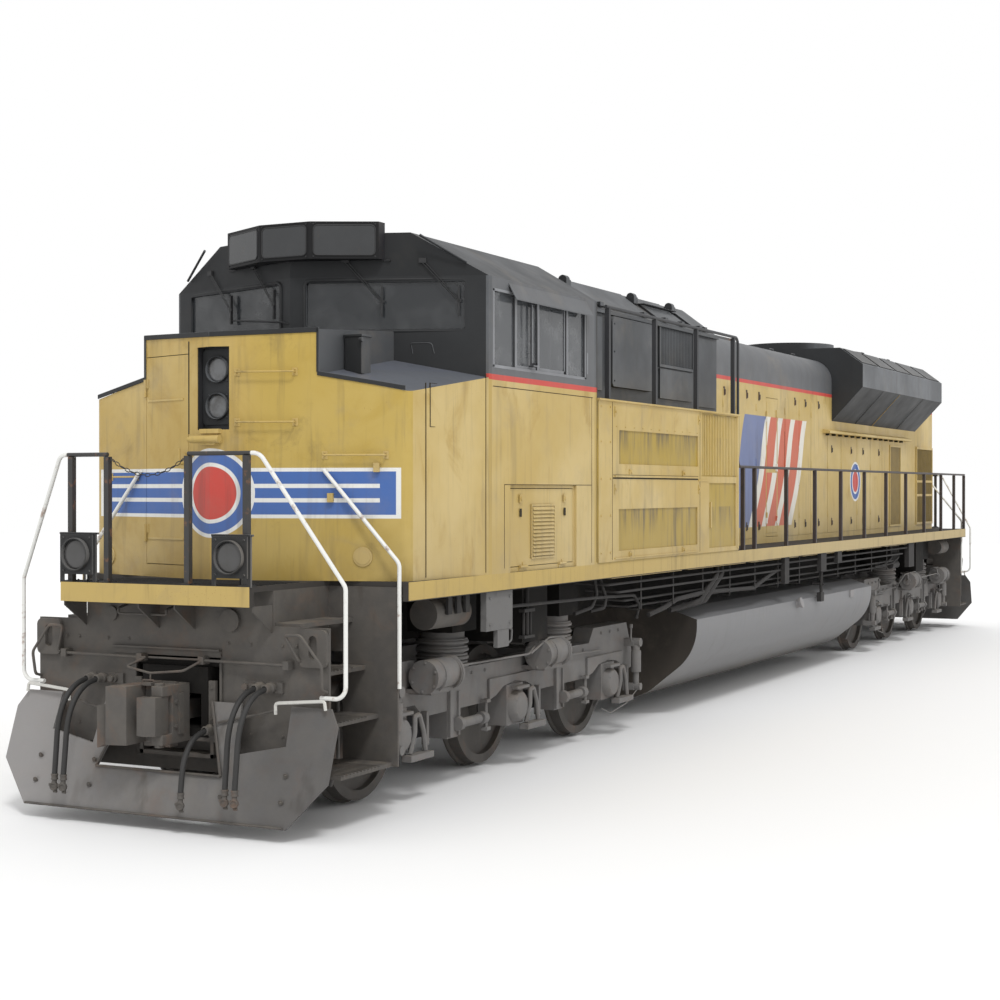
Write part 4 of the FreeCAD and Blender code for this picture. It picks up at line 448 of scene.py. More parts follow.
# the parts of one piece become one object, with softened edges, on its body
def gather(name, parts, finish, edge=0.0, body="locomotive", smooth=35, replaces=(), steps=1):
    pick(parts)
    if len(parts) > 1:
        bpy.ops.object.join()
    made = bpy.context.object
    made.name = made.data.name = name
    if edge:
        rounding = made.modifiers.new("edges", "BEVEL")
        rounding.width = edge
        rounding.segments = steps
        rounding.limit_method = "ANGLE"
        rounding.angle_limit = math.radians(40)
        bpy.ops.object.modifier_apply(modifier="edges")
    bpy.ops.object.shade_smooth_by_angle(angle=math.radians(smooth))
    made.data.materials.clear()
    made.data.materials.append(finish)
    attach(made, body)
    if replaces:
        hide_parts(*replaces)
    return made


# a flat side of the body: local places run along it, up it and out of it
def face(origin, along):
    along, up = Vector(along).normalized(), Vector((0, 0, 1))
    turn = Matrix((along, up, along.cross(up))).transposed().to_4x4()
    return Matrix.Translation(Vector(origin)) @ turn


def laid(panel, items):
    for item in items:
        item.data.transform(panel)
    return items


# places on a circle: across and up from its centre
def circle(radius, angles):
    return [(radius * math.cos(math.radians(angle)), radius * math.sin(math.radians(angle)))
            for angle in angles]


# a rounded rectangle as corners, for frames and gaskets
def roundedLoop(low, high, radius, steps=4):
    spots = [(high[0] - radius, high[1] - radius), (low[0] + radius, high[1] - radius),
             (low[0] + radius, low[1] + radius), (high[0] - radius, low[1] + radius)]
    return [(across + a, level + b) for quarter, (across, level) in enumerate(spots)
            for a, b in circle(radius, [90 * (quarter + step / steps) for step in range(steps + 1)])]


# four strips round an upright rectangle that faces sideways: its place and size, how wide, how thick
def border(side, near, far, low, high, wide, thick):
    out = side + thick
    return boxes((side, out, near - wide, far + wide, low - wide, low),
                 (side, out, near - wide, far + wide, high, high + wide),
                 (side, out, near - wide, near, low, high), (side, out, far, far + wide, low, high))


leftFacet, rightFacet = (face((0, -10.40, 0), (1, slope, 0)) for slope in (0.32, -0.32))
leftScreen, rightScreen = (face((0, -9.28, 0), (1, slope, 0)) for slope in (0.373, -0.373))
facetLength = 1.04995  # of the facet, for each metre across the nose
screenLength = 1.0673
print("faces set out")

ironBlack = plainFinish("blackIron", (0.022, 0.022, 0.023), 0.55, 0.4, 70)
yellowIron = yellowPaint("yellowFittings", streaks=0.6, blotches=0.4)
greyIron = greyPaint("greyFittings")
whiteIron = plainFinish("whiteFittings", (0.62, 0.61, 0.57), 0.45, 0.25, 60)
paleIron = ironFinish("paleFittings", "tank", 0.12, 0.5)
handIron = ironFinish("handFinish", "running", 0.4, 0.4)
# dark strips standing for the shade in seams, gaps and slots: painted shade
paintedSeamShade = plainFinish("seamShadow", (0.030, 0.022, 0.010), 0.85, 0.4, 70)
gasketRubber = plainFinish("gasketRubber", (0.015, 0.016, 0.017), 0.6, 0.3, 90)
hoseRubber = plainFinish("hoseRubber", (0.030, 0.029, 0.028), 0.62, 0.4, 90)

# train line hoses: routes are given as (out from the pilot plate, height), the drift is sideways
hoses = {
    "pilotFace": -10.8,
    "radius": 0.021,
    "longRoute": ((0.050, 1.055), (0.180, 1.055), (0.318, 0.990), (0.408, 0.872), (0.450, 0.730),
                  (0.458, 0.560), (0.470, 0.375)),
    "brakeRoute": ((0.050, 0.722), (0.170, 0.722), (0.300, 0.668), (0.385, 0.560), (0.425, 0.435),
                   (0.442, 0.315)),
    "longLength": 0.928,
    "brakeLength": 0.645,
    "places": {  # across the pilot, then the drift to the lower end
        "main_reservoir_hose_right": (-0.760, -0.022),
        "control_hose_right": (-0.668, -0.030),
        "brake_pipe_hose": (0.345, 0.012),
        "control_hose_left": (0.782, -0.018),
        "main_reservoir_hose_left": (0.874, -0.026),
    },
}


# the coupling on a hose's lower end: ferrule, neck, round seat with its gasket, and the hook
def gladHand(node, end):
    def spot(across, along, up):
        return Vector(end) + Vector((across, along, up))

    made = [spun([(0.0, 0.015), (0.0, 0.026), (0.010, 0.028), (0.016, 0.024), (0.032, 0.024),
                  (0.038, 0.028), (0.045, 0.026), (0.045, 0.015)], end, (0, 0, -1), 18),
            bar(spot(0, 0, -0.042), spot(0, -0.008, -0.078), 0.017, 14, 0.022),
            spun([(-0.018, 0.0), (-0.018, 0.026), (-0.012, 0.031), (0.012, 0.031), (0.018, 0.026),
                  (0.018, 0.021), (0.012, 0.019), (0.012, 0.0)], spot(0, -0.008, -0.094), (0.35, -1, 0), 24),
            plate([spot(-0.015, 0.016, -0.108), spot(0.015, 0.016, -0.108), spot(0.015, 0.012, -0.138),
                   spot(-0.015, 0.012, -0.138)], (0, -0.012, 0)),
            bar(spot(-0.017, 0.006, -0.136), spot(0.017, 0.006, -0.136), 0.009, 12),
            block(spot(-0.030, -0.034, -0.090), spot(-0.012, 0.004, -0.070))]
    return gather(node + "Hand", made, handIron, 0.002, replaces=["hose_couplings"])


for node, (place, drift) in hoses["places"].items():
    kind = "brake" if node == "brake_pipe_hose" else "long"
    route = hoses[kind + "Route"]
    top, base = route[0][1], route[-1][1]
    points = [(place + drift * (top - level) / (top - base), hoses["pilotFace"] - out, level)
              for out, level in route]
    hand = gladHand(node, points[-1])
    hose = curve(node + "Hose", points, hoses["radius"], section=5, fineness=10)
    hose.data.materials.append(hoseRubber)
    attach(hose, "locomotive")
    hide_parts(node)
print("hoses hung")

nose = {
    "irons": ((0.211, 0.648, 3.40), (0.211, 0.650, 3.015), (0.871, 1.326, 2.76)),  # across, across, level
    "iron": (0.055, 0.0085),  # how far it stands off, and its radius
    "ridge": -10.425,
    "ridgeTube": (0.11, 2.885, 0.030),
    "covers": ((1.155, 1.985), (-1.31, 1.95)),
    "coverRadius": 0.075,
    "humpTop": 3.70,
    "humpRise": 0.028,
    "humpHalf": 0.815,
    "shoulder": (3.40, 3.282),
    "rim": 0.030,
}


# a grab iron on a face: a bar on two feet
def grabIron(first, last, level, stand, radius):
    made = [tube([(first, level, 0), (first, level, stand), (last, level, stand), (last, level, 0)],
                 radius, 0.03)]
    for place in (first, last):
        made += boxes((place - 0.022, place + 0.022, level - 0.030, level + 0.030, 0, 0.006))
        made += bolts([(place, level - 0.019, 0.006), (place, level + 0.019, 0.006)], (0, 0, 1), 0.007)
    return made


parts = laid(rightFacet, grabIron(-1.35, -0.98, 2.60, *nose["iron"]))
for first, last, level in nose["irons"]:
    parts += laid(leftFacet, grabIron(first * facetLength, last * facetLength, level, *nose["iron"]))
half, level, radius = nose["ridgeTube"]
parts += bars("x", (-half - 0.05, nose["ridge"], level, 2 * half + 0.05, radius, 20),
              (-half - 0.075, nose["ridge"], level, 0.025, radius * 0.6, 12))
parts += boxes((-half * 0.6, half * 0.6, nose["ridge"], -10.36, level - 0.045, level + 0.02),
               (-0.09, 0.09, -10.41, -10.365, 2.93, 2.965))
for (across, level), panel in zip(nose["covers"], (leftFacet, rightFacet)):
    spot = across * facetLength
    parts += laid(panel, bars("z", (spot, level, 0, 0.012, nose["coverRadius"], 28),
                              (spot, level, 0.012, 0.005, nose["coverRadius"] * 0.8, 28)))
# lugs of the sand box lid
parts += laid(leftFacet, boxes((1.30, 1.345, 2.63, 2.70, 0, 0.035), (0.94, 0.985, 2.40, 2.47, 0, 0.035)))
gather("noseIrons", parts, yellowIron, 0.002)

# rims: along the top of the middle, down its edges and along the shoulders
edge = nose["humpHalf"] * facetLength
rim, top = nose["rim"], nose["humpTop"]
inner, outer = nose["shoulder"]
corner = 1.472 * facetLength
rise = nose["humpRise"] * edge
parts = [plate([(0.0, top - rim + 0.006, 0), (edge + 0.012, top - rim + 0.006 + rise, 0),
                (edge + 0.012, top + 0.014 + rise, 0), (0.0, top + 0.014, 0)], (0, 0, 0.010)),
         block((edge - 0.006, inner - 0.004, 0), (edge + rim * 0.5, top + 0.010 + rise, 0.010)),
         plate([(edge, inner - rim, 0), (corner, outer - rim, 0), (corner, outer + 0.004, 0),
                (edge, inner + 0.004, 0)], (0, 0, 0.010))]
parts = laid(rightFacet, mirroredCopies(parts)) + laid(leftFacet, parts)
# the box on the left shoulder with its lid, and the walkway angle behind it
parts += boxes((0.84, 0.99, -9.78, -9.64, 3.40, 3.695), (0.83, 1.00, -9.79, -9.63, 3.69, 3.708))
parts += bars("x", (0.985, -9.80, 3.66, 0.030, 0.018, 12))
parts += [tube([(1.06, -9.10, 3.60), (1.06, -9.13, 3.68), (1.22, -9.07, 3.68), (1.22, -9.03, 3.60)], 0.007),
          tube([(-1.30, -9.45, 3.40), (-1.30, -9.55, 3.48), (-1.05, -9.62, 3.50), (-1.05, -9.55, 3.40)],
               0.008)]
gather("noseRims", parts, greyIron, 0.002)

# painted shade in the seams of the side plates and of the right facet, drawn as thin dark strips
parts = []
for near, far, low, high in ((-9.692, -9.688, 1.82, 3.318), (-9.629, -9.625, 2.985, 3.322),
                             (-9.629, -9.471, 2.981, 2.985), (-9.629, -9.52, 3.318, 3.322)):
    out = 1.5 + 0.05 * (near + 9.92)
    parts += boxes((out - 0.004, out + 0.004, near - 0.002, far + 0.002, low, high))
parts = mirroredAll(parts) + laid(rightFacet, boxes((-0.276, -0.262, 2.93, 3.655, -0.001, 0.0015)))
gather("noseSeamShades", parts, paintedSeamShade)
print("nose fitted")

lamps = {
    "plate": (0.143, 3.000, 3.585),
    "heads": (3.143, 3.428),
    "head": (-10.300, 0.105),  # face and radius
    "ditchPlace": 0.70,
    "ditchLevel": 2.01,
    "ditch": (-11.138, 0.125),
}


# a rim and its lens
def lampAt(across, level, face, radius):
    dome = [(0.016 * a / radius - 0.012, b) for a, b in circle(radius, range(0, 91, 15))]
    dome = [(along, 0.91 * reach) for along, reach in dome]
    return (spun([(0.0, radius * 0.90), (0.014, radius * 0.91), (0.018, radius * 0.95), (0.014, radius),
                  (-0.045, radius), (-0.045, radius * 0.90), (0.0, radius * 0.90)],
                 (across, face, level), (0, -1, 0), 36),
            spun([(-0.012, radius * 0.91)] + dome[::-1], (across, face, level), (0, -1, 0), 36))


half, low, high = lamps["plate"]
parts = [plate([(a, -10.262, z) for a, z in roundedLoop((-half, low), (half, high), 0.03)], (0, -0.028, 0))]
lenses = []
for level in lamps["heads"]:
    rim, lens = lampAt(0, level, *lamps["head"])
    parts += [rim] + bolts([(0.122 * math.cos(angle), -10.290, level + 0.122 * math.sin(angle))
                            for angle in (0.8, 2.35, 3.95, 5.5)], (0, -1, 0), 0.008)
    lenses.append(lens)
for side in (-1, 1):
    place, level = side * lamps["ditchPlace"], lamps["ditchLevel"]
    rim, lens = lampAt(place, level, *lamps["ditch"])
    lenses.append(lens)
    parts += boxes((place - 0.15, place + 0.15, -11.12, -11.075, level - 0.15, level + 0.15),
                   (place - 0.17, place - 0.14, -11.105, -11.085, 1.795, level + 0.16),
                   (place + 0.14, place + 0.17, -11.105, -11.085, 1.795, level + 0.16),
                   (place - 0.17, place + 0.17, -11.11, -11.06, level + 0.15, level + 0.165))
    parts += [rim, spun([(-0.10, 0.0), (-0.095, 0.07), (-0.03, 0.12), (-0.03, 0.0)],
                        (place, -11.10, level), (0, -1, 0), 24),
              tube([(place, -11.02, level - 0.02), (place, -10.98, level - 0.04), (place, -10.98, 1.80)],
                   0.012)]
    parts += bolts([(place + a, -11.12, level + b) for a in (-0.125, 0.125) for b in (-0.125, 0.125)],
                   (0, -1, 0), 0.010)
gather("lampCases", parts, greyPaint("lampPaint", "grey", 0.5, 0.5, 1.7, 3.6), 0.002,
       replaces=["lamps"])
lensPaint = Paint("lampLens")
rings = (lensPaint.noise(30, 2) * 0.2 + lensPaint.z * 26).sine() * 0.5 + 0.5
lensPaint.bump(rings, 0.002, 0.4)
lensTone = lensPaint.blend(lensPaint.z > 2.5, (0.075, 0.074, 0.073), (0.135, 0.138, 0.142))
dull = lensPaint.noise(9, 4).rise(0.4, 0.75)
lensPaint.done(lensPaint.blend(dull, lensTone, (0.065, 0.063, 0.060)), 0.22, 0.35)
gather("lampLenses", lenses, lensPaint.material)
print("lamps fitted")

cab = {
    "screen": (0.115, 1.385, 3.80, 4.225),  # across, across, level, level
    "gasket": 0.013,
    "corner": 0.055,
    "wipers": {  # head of the arm and middle of the blade, across and up
        "left": (((0.439, 4.382), (0.725, 4.044)), ((1.042, 4.372), (1.323, 4.044))),
        "right": (((-1.075, 4.384), (-0.770, 4.045)), ((-0.463, 4.385), (-0.180, 4.044))),
    },
    "bladeHalf": 0.124,
}
low, high = cab["screen"][2:]
radius, blade = cab["corner"], cab["bladeHalf"]
gaskets, wipers = [], []
for name, side, panel in (("left", 1, leftScreen), ("right", -1, rightScreen)):
    ends = sorted(side * across * screenLength for across in cab["screen"][:2])
    gaskets += laid(panel, [loopTube([(a, z, 0.006) for a, z in roundedLoop((ends[0], low), (ends[1], high),
                                                                            radius)], cab["gasket"])])
    for across, inX in zip(ends, (1, -1)):  # the pieces that fill the opening's square corners
        for level, inZ in ((low, 1), (high, -1)):
            bend = [(across + inX * (radius - a), level + inZ * (radius - b), -0.012)
                    for a, b in circle(radius, (0, 22.5, 45, 67.5, 90))]
            gaskets += laid(panel, [plate([(across, level, -0.012)] + bend, (0, 0, 0.014))])
    for (headX, headZ), (footX, footZ) in cab["wipers"][name]:
        headX, footX = headX * screenLength, footX * screenLength
        wipers += laid(panel, boxes(
            (headX - 0.03, headX + 0.03, headZ - 0.015, headZ + 0.025, 0, 0.035),
            (footX - 0.018, footX + 0.024, footZ - 0.010, footZ + 0.010, 0.022, 0.040),
            (footX - 0.004, footX + 0.010, footZ - blade, footZ + blade, 0.026, 0.040),
            (footX - 0.001, footX + 0.007, footZ - blade, footZ + blade, 0.012, 0.028)) + [
            tube([(headX - 0.012, headZ, 0.03), (footX - 0.012, footZ, 0.034)], 0.0045),
            tube([(headX + 0.014, headZ, 0.03), (footX + 0.010, footZ - 0.004, 0.034)], 0.0045)])
wipers += laid(rightScreen, [tube([(-0.82, 3.955, 0.02), (-0.10, 3.892, 0.02), (-0.02, 3.870, 0.0)], 0.007)])
gather("screenGaskets", gaskets, gasketRubber)
gather("wipers", wipers, ironBlack)

# number boards: a rim and a plain dark glass on each of the three faces
boards = {
    "rise": (4.415, 4.660),
    "sideRun": (0.275, 0.725),
    "middleRun": 0.215,
    "corner": (0.245, -9.37),  # across and along, where the faces meet
    "slope": 0.26 / 0.505,
}
low, high = boards["rise"]
fold, front = boards["corner"]
parts, blanks = boxes((-0.80, 0.80, -9.02, -8.90, 4.375, 4.392)), []
for side in (1, 0, -1):
    panel = face((side * fold, front, 0), (1, side * boards["slope"], 0))
    ends = sorted(side * (across - fold) * math.hypot(1, boards["slope"]) for across in boards["sideRun"])
    if not side:
        ends = [-boards["middleRun"], boards["middleRun"]]
    loop = roundedLoop((ends[0], low), (ends[1], high), 0.035)
    parts += laid(panel, [loopTube([(a, z, 0.002) for a, z in loop], 0.0065)])
    parts += bolts([panel @ Vector((across, level, 0.001)) for across in ends
                    for level in (low - 0.010, high + 0.010)], panel.to_3x3().col[2], 0.006)
    blanks += laid(panel, [plate([(a, z, 0.001) for a, z in loop], (0, 0, 0.003))])
gather("boardRims", parts, ironBlack)
gather("boardBlanks", blanks, plainFinish("boardGlass", (0.040, 0.042, 0.044), 0.18))

# side windows: frames, a sliding pane and a wind deflector on each side
windows = {
    "run": (-8.64, -6.75),
    "rise": (3.505, 4.155),
    "bars": (-8.205, -7.768, -7.158),
    "deflector": (-7.915, 3.565, 4.10, 0.062),
}


def windowFrames():
    near, far = windows["run"]
    low, high = windows["rise"]
    made = boxes((1.535, 1.561, near, far, low - 0.005, low + 0.022),
                 (1.535, 1.561, near, far, high - 0.022, high + 0.003),
                 (1.535, 1.561, near, near + 0.028, low, high), (1.535, 1.561, far - 0.028, far, low, high),
                 *((1.530, 1.558, place - 0.022, place + 0.022, low, high) for place in windows["bars"]),
                 (1.520, 1.545, -8.18, -7.79, low + 0.015, low + 0.045),
                 (1.522, 1.548, -7.745, -7.72, low + 0.02, high - 0.02),
                 (1.522, 1.548, -7.21, -7.185, low + 0.02, high - 0.02),
                 (1.522, 1.548, -7.745, -7.185, low + 0.02, low + 0.05),
                 (1.522, 1.548, -7.745, -7.185, high - 0.05, high - 0.02),
                 (1.515, 1.535, -7.49, -7.455, low + 0.02, high - 0.02),
                 (1.555, 1.561, -6.735, -6.700, low + 0.05, low + 0.25))
    place, low, high, reach = windows["deflector"]
    near, far, out = place - 0.006, place + 0.006, 1.562 + reach
    return made + boxes((1.562, out, near, far, low, low + 0.018),
                        (1.562, out, near, far, high - 0.018, high), (out - 0.014, out, near, far, low, high),
                        (1.556, 1.572, place - 0.010, place + 0.010, low, high),
                        (1.550, 1.60, place - 0.03, place + 0.05, low - 0.015, low - 0.002))


gather("windowFrames", mirroredAll(windowFrames()), greyPaint("framePaint", "greyPale", 0.3, 0.2, 3.0, 3.4),
       0.002)

# cab sides: painted shade in the seams, as dark strips given as (near, far, low, high)
seams = [(1.552, 1.5615, *row) for row in (
    (-8.770, -8.765, 1.82, 3.44), (-6.502, -6.496, 1.82, 4.24), (-8.642, -6.593, 3.345, 3.351),
    (-6.62, -6.615, 1.82, 3.35), (-8.432, -8.427, 1.84, 2.54), (-8.43, -6.62, 2.536, 2.541))]
gather("cabSeamShades", mirroredAll(boxes(*seams)), paintedSeamShade)

# cab roof: pipes and a strip along each edge, ribs across, and two vents
parts = [tube([(1.07, -9.00, 4.575), (1.40, -8.80, 4.352)], 0.012),
         spun([(0.0, 0.0), (0.0, 0.055), (0.03, 0.055), (0.05, 0.03), (0.055, 0.0)],
              (0.45, -7.6, 4.61), (0, 0, 1), 20)]
parts += boxes((1.0, 1.5, -6.56, -6.50, 4.24, 4.262)) + bars("y", (0.95, -8.90, 4.600, 2.35, 0.010, 8))
parts = mirroredAll(parts) + boxes(*((-0.90, 0.90, place - 0.012, place + 0.012, 4.602, 4.618)
                                     for place in (-8.55, -7.9, -7.2, -6.7)))
gather("cabRoofFittings", parts, greyIron, 0.002)
print("cab fitted")

cabinet = {
    "skin": (1.553, 1.572, -6.475, -2.465, 1.812, 3.338),
    "recesses": ((-5.99, -3.80, 2.743, 3.068), (-5.995, -3.82, 1.91, 2.31), (-3.69, -2.54, 2.64, 3.325),
                 (-3.45, -2.56, 1.86, 2.57)),
    "ribs": (-3.66, -2.56, 0.052, 2.655, 3.31),
    "lugs": ((-6.07, 3.24), (-6.07, 2.50), (-3.76, 3.24), (-3.76, 2.50)),
    "feet": (-5.71, -4.25),
}
inner, outer = cabinet["skin"][:2]
start, end, pitch, low, high = cabinet["ribs"]
parts = [cutBy(boxes(cabinet["skin"])[0],
               boxes(*((inner - 0.02, outer + 0.02, *hole) for hole in cabinet["recesses"])))]
for step in range(int((end - start) / pitch) + 1):
    place = start + pitch * step
    parts += boxes((1.555, 1.566, place - 0.012, place + 0.012, low, high))
parts += boxes((1.555, 1.586, -6.10, -3.84, 2.616, 2.634), (1.555, 1.582, -6.10, -3.84, 1.832, 1.846),
               (1.56, 1.578, -2.52, -2.47, 1.83, 3.34), (1.56, 1.59, -6.49, -2.46, 3.335, 3.352),
               (1.56, 1.580, -3.79, -3.49, 2.586, 2.606), (1.555, 1.576, -3.40, -3.37, 2.08, 2.36))
for place, level in cabinet["lugs"]:
    parts.append(plate([(outer, place - 0.030, level + 0.05), (outer, place - 0.030, level - 0.05),
                        (outer, place + 0.034, level)], (0.006, 0, 0)))
    parts += bars("x", (outer, place - 0.012, level, 0.016, 0.011, 10))
for level in (2.668, 1.868):
    for place in cabinet["feet"]:
        parts += boxes((outer, 1.585, place - 0.03, place + 0.03, level - 0.028, level + 0.028))
        parts += bars("x", (1.585, place, level, 0.013, 0.016, 10))
parts += bolts([(outer, place, level) for place in (-6.42, -6.20) for level in (1.9, 2.25, 2.6, 2.95, 3.28)],
               (1, 0, 0), 0.009)
parts += bolts([(outer, -6.05 + 0.222 * step, 3.10) for step in range(11)], (1, 0, 0), 0.006)
gather("cabinetPanels", parts, yellowPaint("cabinetSkin", streaks=0.55, blotches=0.3))
# painted shade in the cabinet's seams, as thin dark strips
seams = [(1.5715, 1.5735, *row) for row in ((-6.158, -6.152, 1.83, 3.33), (-3.745, -3.740, 1.83, 3.33),
                                            (-6.14, -3.80, 2.600, 2.614), (-6.14, -3.80, 2.636, 2.640))]
gather("cabinetSeamShades", boxes(*seams), paintedSeamShade)

# the dark equipment housing above the cabinet
housing = {
    "side": 1.30,
    "box": (-5.66, -4.55, 3.51, 4.20),
    "louvres": (-4.27, -3.30, 3.82, 4.22, 0.046),
}
side = housing["side"]
near, far, low, high = housing["box"]
parts = [plate([(side, near, low + 0.03), (side, near + 0.03, low), (side, far - 0.03, low),
                (side, far, low + 0.03), (side, far, high - 0.05), (side, far - 0.05, high),
                (side, near + 0.05, high), (side, near, high - 0.05)], (0.065, 0, 0))]
parts += bolts([(side + 0.065, place, level) for place in (near + 0.05, far - 0.05)
                for level in (low + 0.06, (low + high) / 2, high - 0.07)], (1, 0, 0), 0.010)
near, far, low, high, pitch = housing["louvres"]
out = side + 0.028
parts += boxes((side, out, near - 0.03, far + 0.03, low - 0.03, low),
               (side, out, near - 0.03, near, low, high), (side, out, far, far + 0.03, low, high),
               (side, 1.320, near, far, 3.46, 3.775),
               (side, 1.312, -3.14, -2.50, 3.42, 4.19), (side, 1.315, -6.44, -5.80, 3.46, 4.18),
               (side, 1.335, -6.46, -2.47, 4.215, 4.245))
for step in range(int((far - near) / pitch)):
    place = near + pitch * (step + 0.5)
    parts.append(plate([(side, place - 0.013, low), (side + 0.024, place + 0.006, low),
                        (side + 0.024, place + 0.013, low), (side, place - 0.004, low)], (0, 0, high - low)))
    parts += boxes((1.02, 1.14, place - 0.010, place + 0.010, 4.462, 4.470))
# the sloping edge of the roof: lids, their hinges and lifting eyes
for near, far in ((-5.95, -4.45), (-4.20, -3.35), (-3.15, -2.62)):
    parts.append(plate([(1.262, near, 4.288), (1.262, far, 4.288), (0.93, far, 4.537), (0.93, near, 4.537)],
                       (0.014, 0, 0.018)))
    parts += boxes(*((1.235, 1.300, place - 0.04, place + 0.04, 4.29, 4.33)
                     for place in (near + 0.18, far - 0.18)))
for place in (-6.05, -4.33, -3.22):
    parts += bars("y", (1.02, place - 0.04, 4.53, 0.08, 0.045, 16))
    parts += boxes((0.97, 1.07, place - 0.055, place + 0.055, 4.46, 4.53))
# the roof: air intakes with louvred lids
for near, far in ((-6.2, -5.1), (-4.9, -3.9), (-3.7, -2.7)):
    parts += boxes((-0.75, 0.75, near, far, 4.558, 4.600),
                   *((-0.66, 0.66, near + 0.10 + 0.10 * step, near + 0.14 + 0.10 * step, 4.600, 4.618)
                     for step in range(int((far - near - 0.15) / 0.10))))
gather("housingPanels", parts, greyPaint("panelPaint", "grey", 0.5, 0.3, 3.4, 3.8), 0.003)

# the right side of the housing, above the walkway: panels and hinges
parts = []
for near, far in ((-6.30, -5.20), (-5.05, -3.95), (-3.80, -2.60)):
    parts += boxes((-0.984, -0.97, near, far, 3.45, 4.18), (-0.986, -0.97, near, far, 1.90, 2.55),
                   (-0.986, -0.97, near, far, 2.62, 3.28),
                   *((-1.004, -0.984, place - 0.014, place + 0.014, level - 0.030, level + 0.030)
                     for place in (near + 0.12, far - 0.12) for level in (2.05, 2.40, 2.77, 3.12)))
gather("rightCabinetDoors", parts, yellowPaint("rightCabinetPaint", upper=3.84), 0.003)
print("cabinet fitted")

# the engine hood's left side; the right side mirrors it
hood = {
    "side": 0.970,
    "seams": (-2.18, -1.78, -1.30, -0.83, -0.02, 1.21, 1.85, 2.42, 3.26, 3.98, 4.87, 5.66, 6.40, 6.86),
    "high": (-1.73, -1.25, -0.40, 0.10, 1.65, 2.14, 2.79),  # latches
    "low": (-1.73, -1.25, -0.40, 0.10, 1.65, 2.14, 2.79, 3.47, 4.53, 5.21, 6.18),
    "bay": (3.47, 4.53, 5.21, 6.18),
    "span": (1.865, 3.73),
    "gutter": (3.00, 8.02, 3.31, 3.375, 1.085),
    "panel": (6.93, 7.62, 1.92, 3.20),
    "grille": (8.78, 9.94, 1.93, 3.20),
    "pitch": 0.052,
}
side = hood["side"]
low, high = hood["span"]
# dark collects the strips and sheets of painted shade
latches, doors, darkerYellow, dark = [], [], [], []
for places, level in ((hood["high"], 3.70), (hood["low"], 2.03), (hood["bay"], 3.09)):
    for place in places:
        latches += boxes((0.970, 0.980, place - 0.020, place + 0.020, level - 0.055, level + 0.055),
                         (0.978, 0.994, place - 0.009, place + 0.009, level - 0.045, level + 0.020))
# a dark strip of painted shade down each door seam, and hinges
for place in hood["seams"][1:-1]:
    dark += boxes((side - 0.004, side + 0.0015, place - 0.005, place + 0.005, low + 0.02, 3.28))
    for level in (2.15, 2.85, 3.55):  # hinges, but none behind the radiator's flare
        if place < 6.40 and (place < 3.2 or level < 3.4):
            doors += bars("z", (side + 0.006, place, level - 0.045, 0.09, 0.009, 8))
for first, second in zip(hood["seams"], hood["seams"][1:]):
    if first > 0.95 or second < 0.35:  # the engine door stands in the gap
        top = high if second < 3.3 else 3.29
        doors += boxes((side - 0.004, side + 0.005, first + 0.008, second - 0.008, low + 0.01, top))
near, far, low, high, reach = hood["gutter"]
doors.append(plate([(side, near, high), (reach, near, high - 0.03), (reach, near, low), (side, near, low)],
                   (0, far - near, 0)))
near, far, low, high = hood["panel"]
doors += border(side, near, far, low, high, 0.03, 0.014)
# the recessed panel and the grille slats take a darker yellow
darkerYellow += boxes((side, side + 0.003, near, far, low, high))
near, far, low, high = hood["grille"]
doors += boxes((side, side + 0.020, near - 0.04, far + 0.03, low - 0.04, low),
               (side, side + 0.020, near - 0.04, far + 0.03, high, high + 0.04),
               (side, side + 0.020, near - 0.04, near, low, high),
               (side, side + 0.020, far, far + 0.03, low, high),
               (side, side + 0.016, near, far, 2.38, 2.42), (side, side + 0.016, near, far, 2.62, 2.66))
for step in range(int((far - near) / hood["pitch"])):
    place = near + hood["pitch"] * (step + 0.5)
    darkerYellow += boxes((side, side + 0.013, place - 0.011, place + 0.011, low, high))
# painted shade: a dark sheet behind the grille slats, and dark clips for the shade under the gutter
dark += boxes((side - 0.002, side + 0.002, near, far, low, high))
dark += boxes(*((side, side + 0.05, 3.15 + 0.34 * step, 3.20 + 0.34 * step, 3.282, 3.312)
                for step in range(14)))  # clips under the gutter


# a disc of several colours, largest first
def discMarks(paint, base, down, rings, share=1.0):
    for reach, tone in rings:
        base = paint.blend(down.rise(reach + 0.002, reach - 0.002) * share, base, tone)
    return base


# slanted bands of plain colour on the hood, and a disc like the one on the nose
def bandMarks(paint, base):
    along = paint.y - 0.50 * (paint.z - 2.6) + 0.05 * (paint.z * 4.2).sine()
    for start, width, tone in ((-0.85, 0.86, "blue"), (0.01, 0.20, "white"), (0.21, 0.34, "red"),
                               (0.55, 0.20, "white"), (0.75, 0.34, "red"), (1.09, 0.20, "white"),
                               (1.29, 0.34, "red"), (1.63, 0.20, "white")):
        share = along.within(start, start + width) * paint.z.within(2.02, 3.45)
        base = paint.blend(share * 0.80, base, tone)
    along, up = paint.y - 4.78, paint.z - 2.62
    base = discMarks(paint, base, (along * along + up * up) ** 0.5,
                     ((0.30, "white"), (0.27, "blue"), (0.19, "white"), (0.16, "red")))
    corner = (paint.y + 2.20) - (3.86 - paint.z) * 1.0
    level = paint.z.within(3.35, 3.887, 0.001)
    base = paint.blend(corner.rise(0.004, -0.004) * level, base, "grey")
    return paint.blend(corner.within(0.0, 0.055) * level, base, "red")


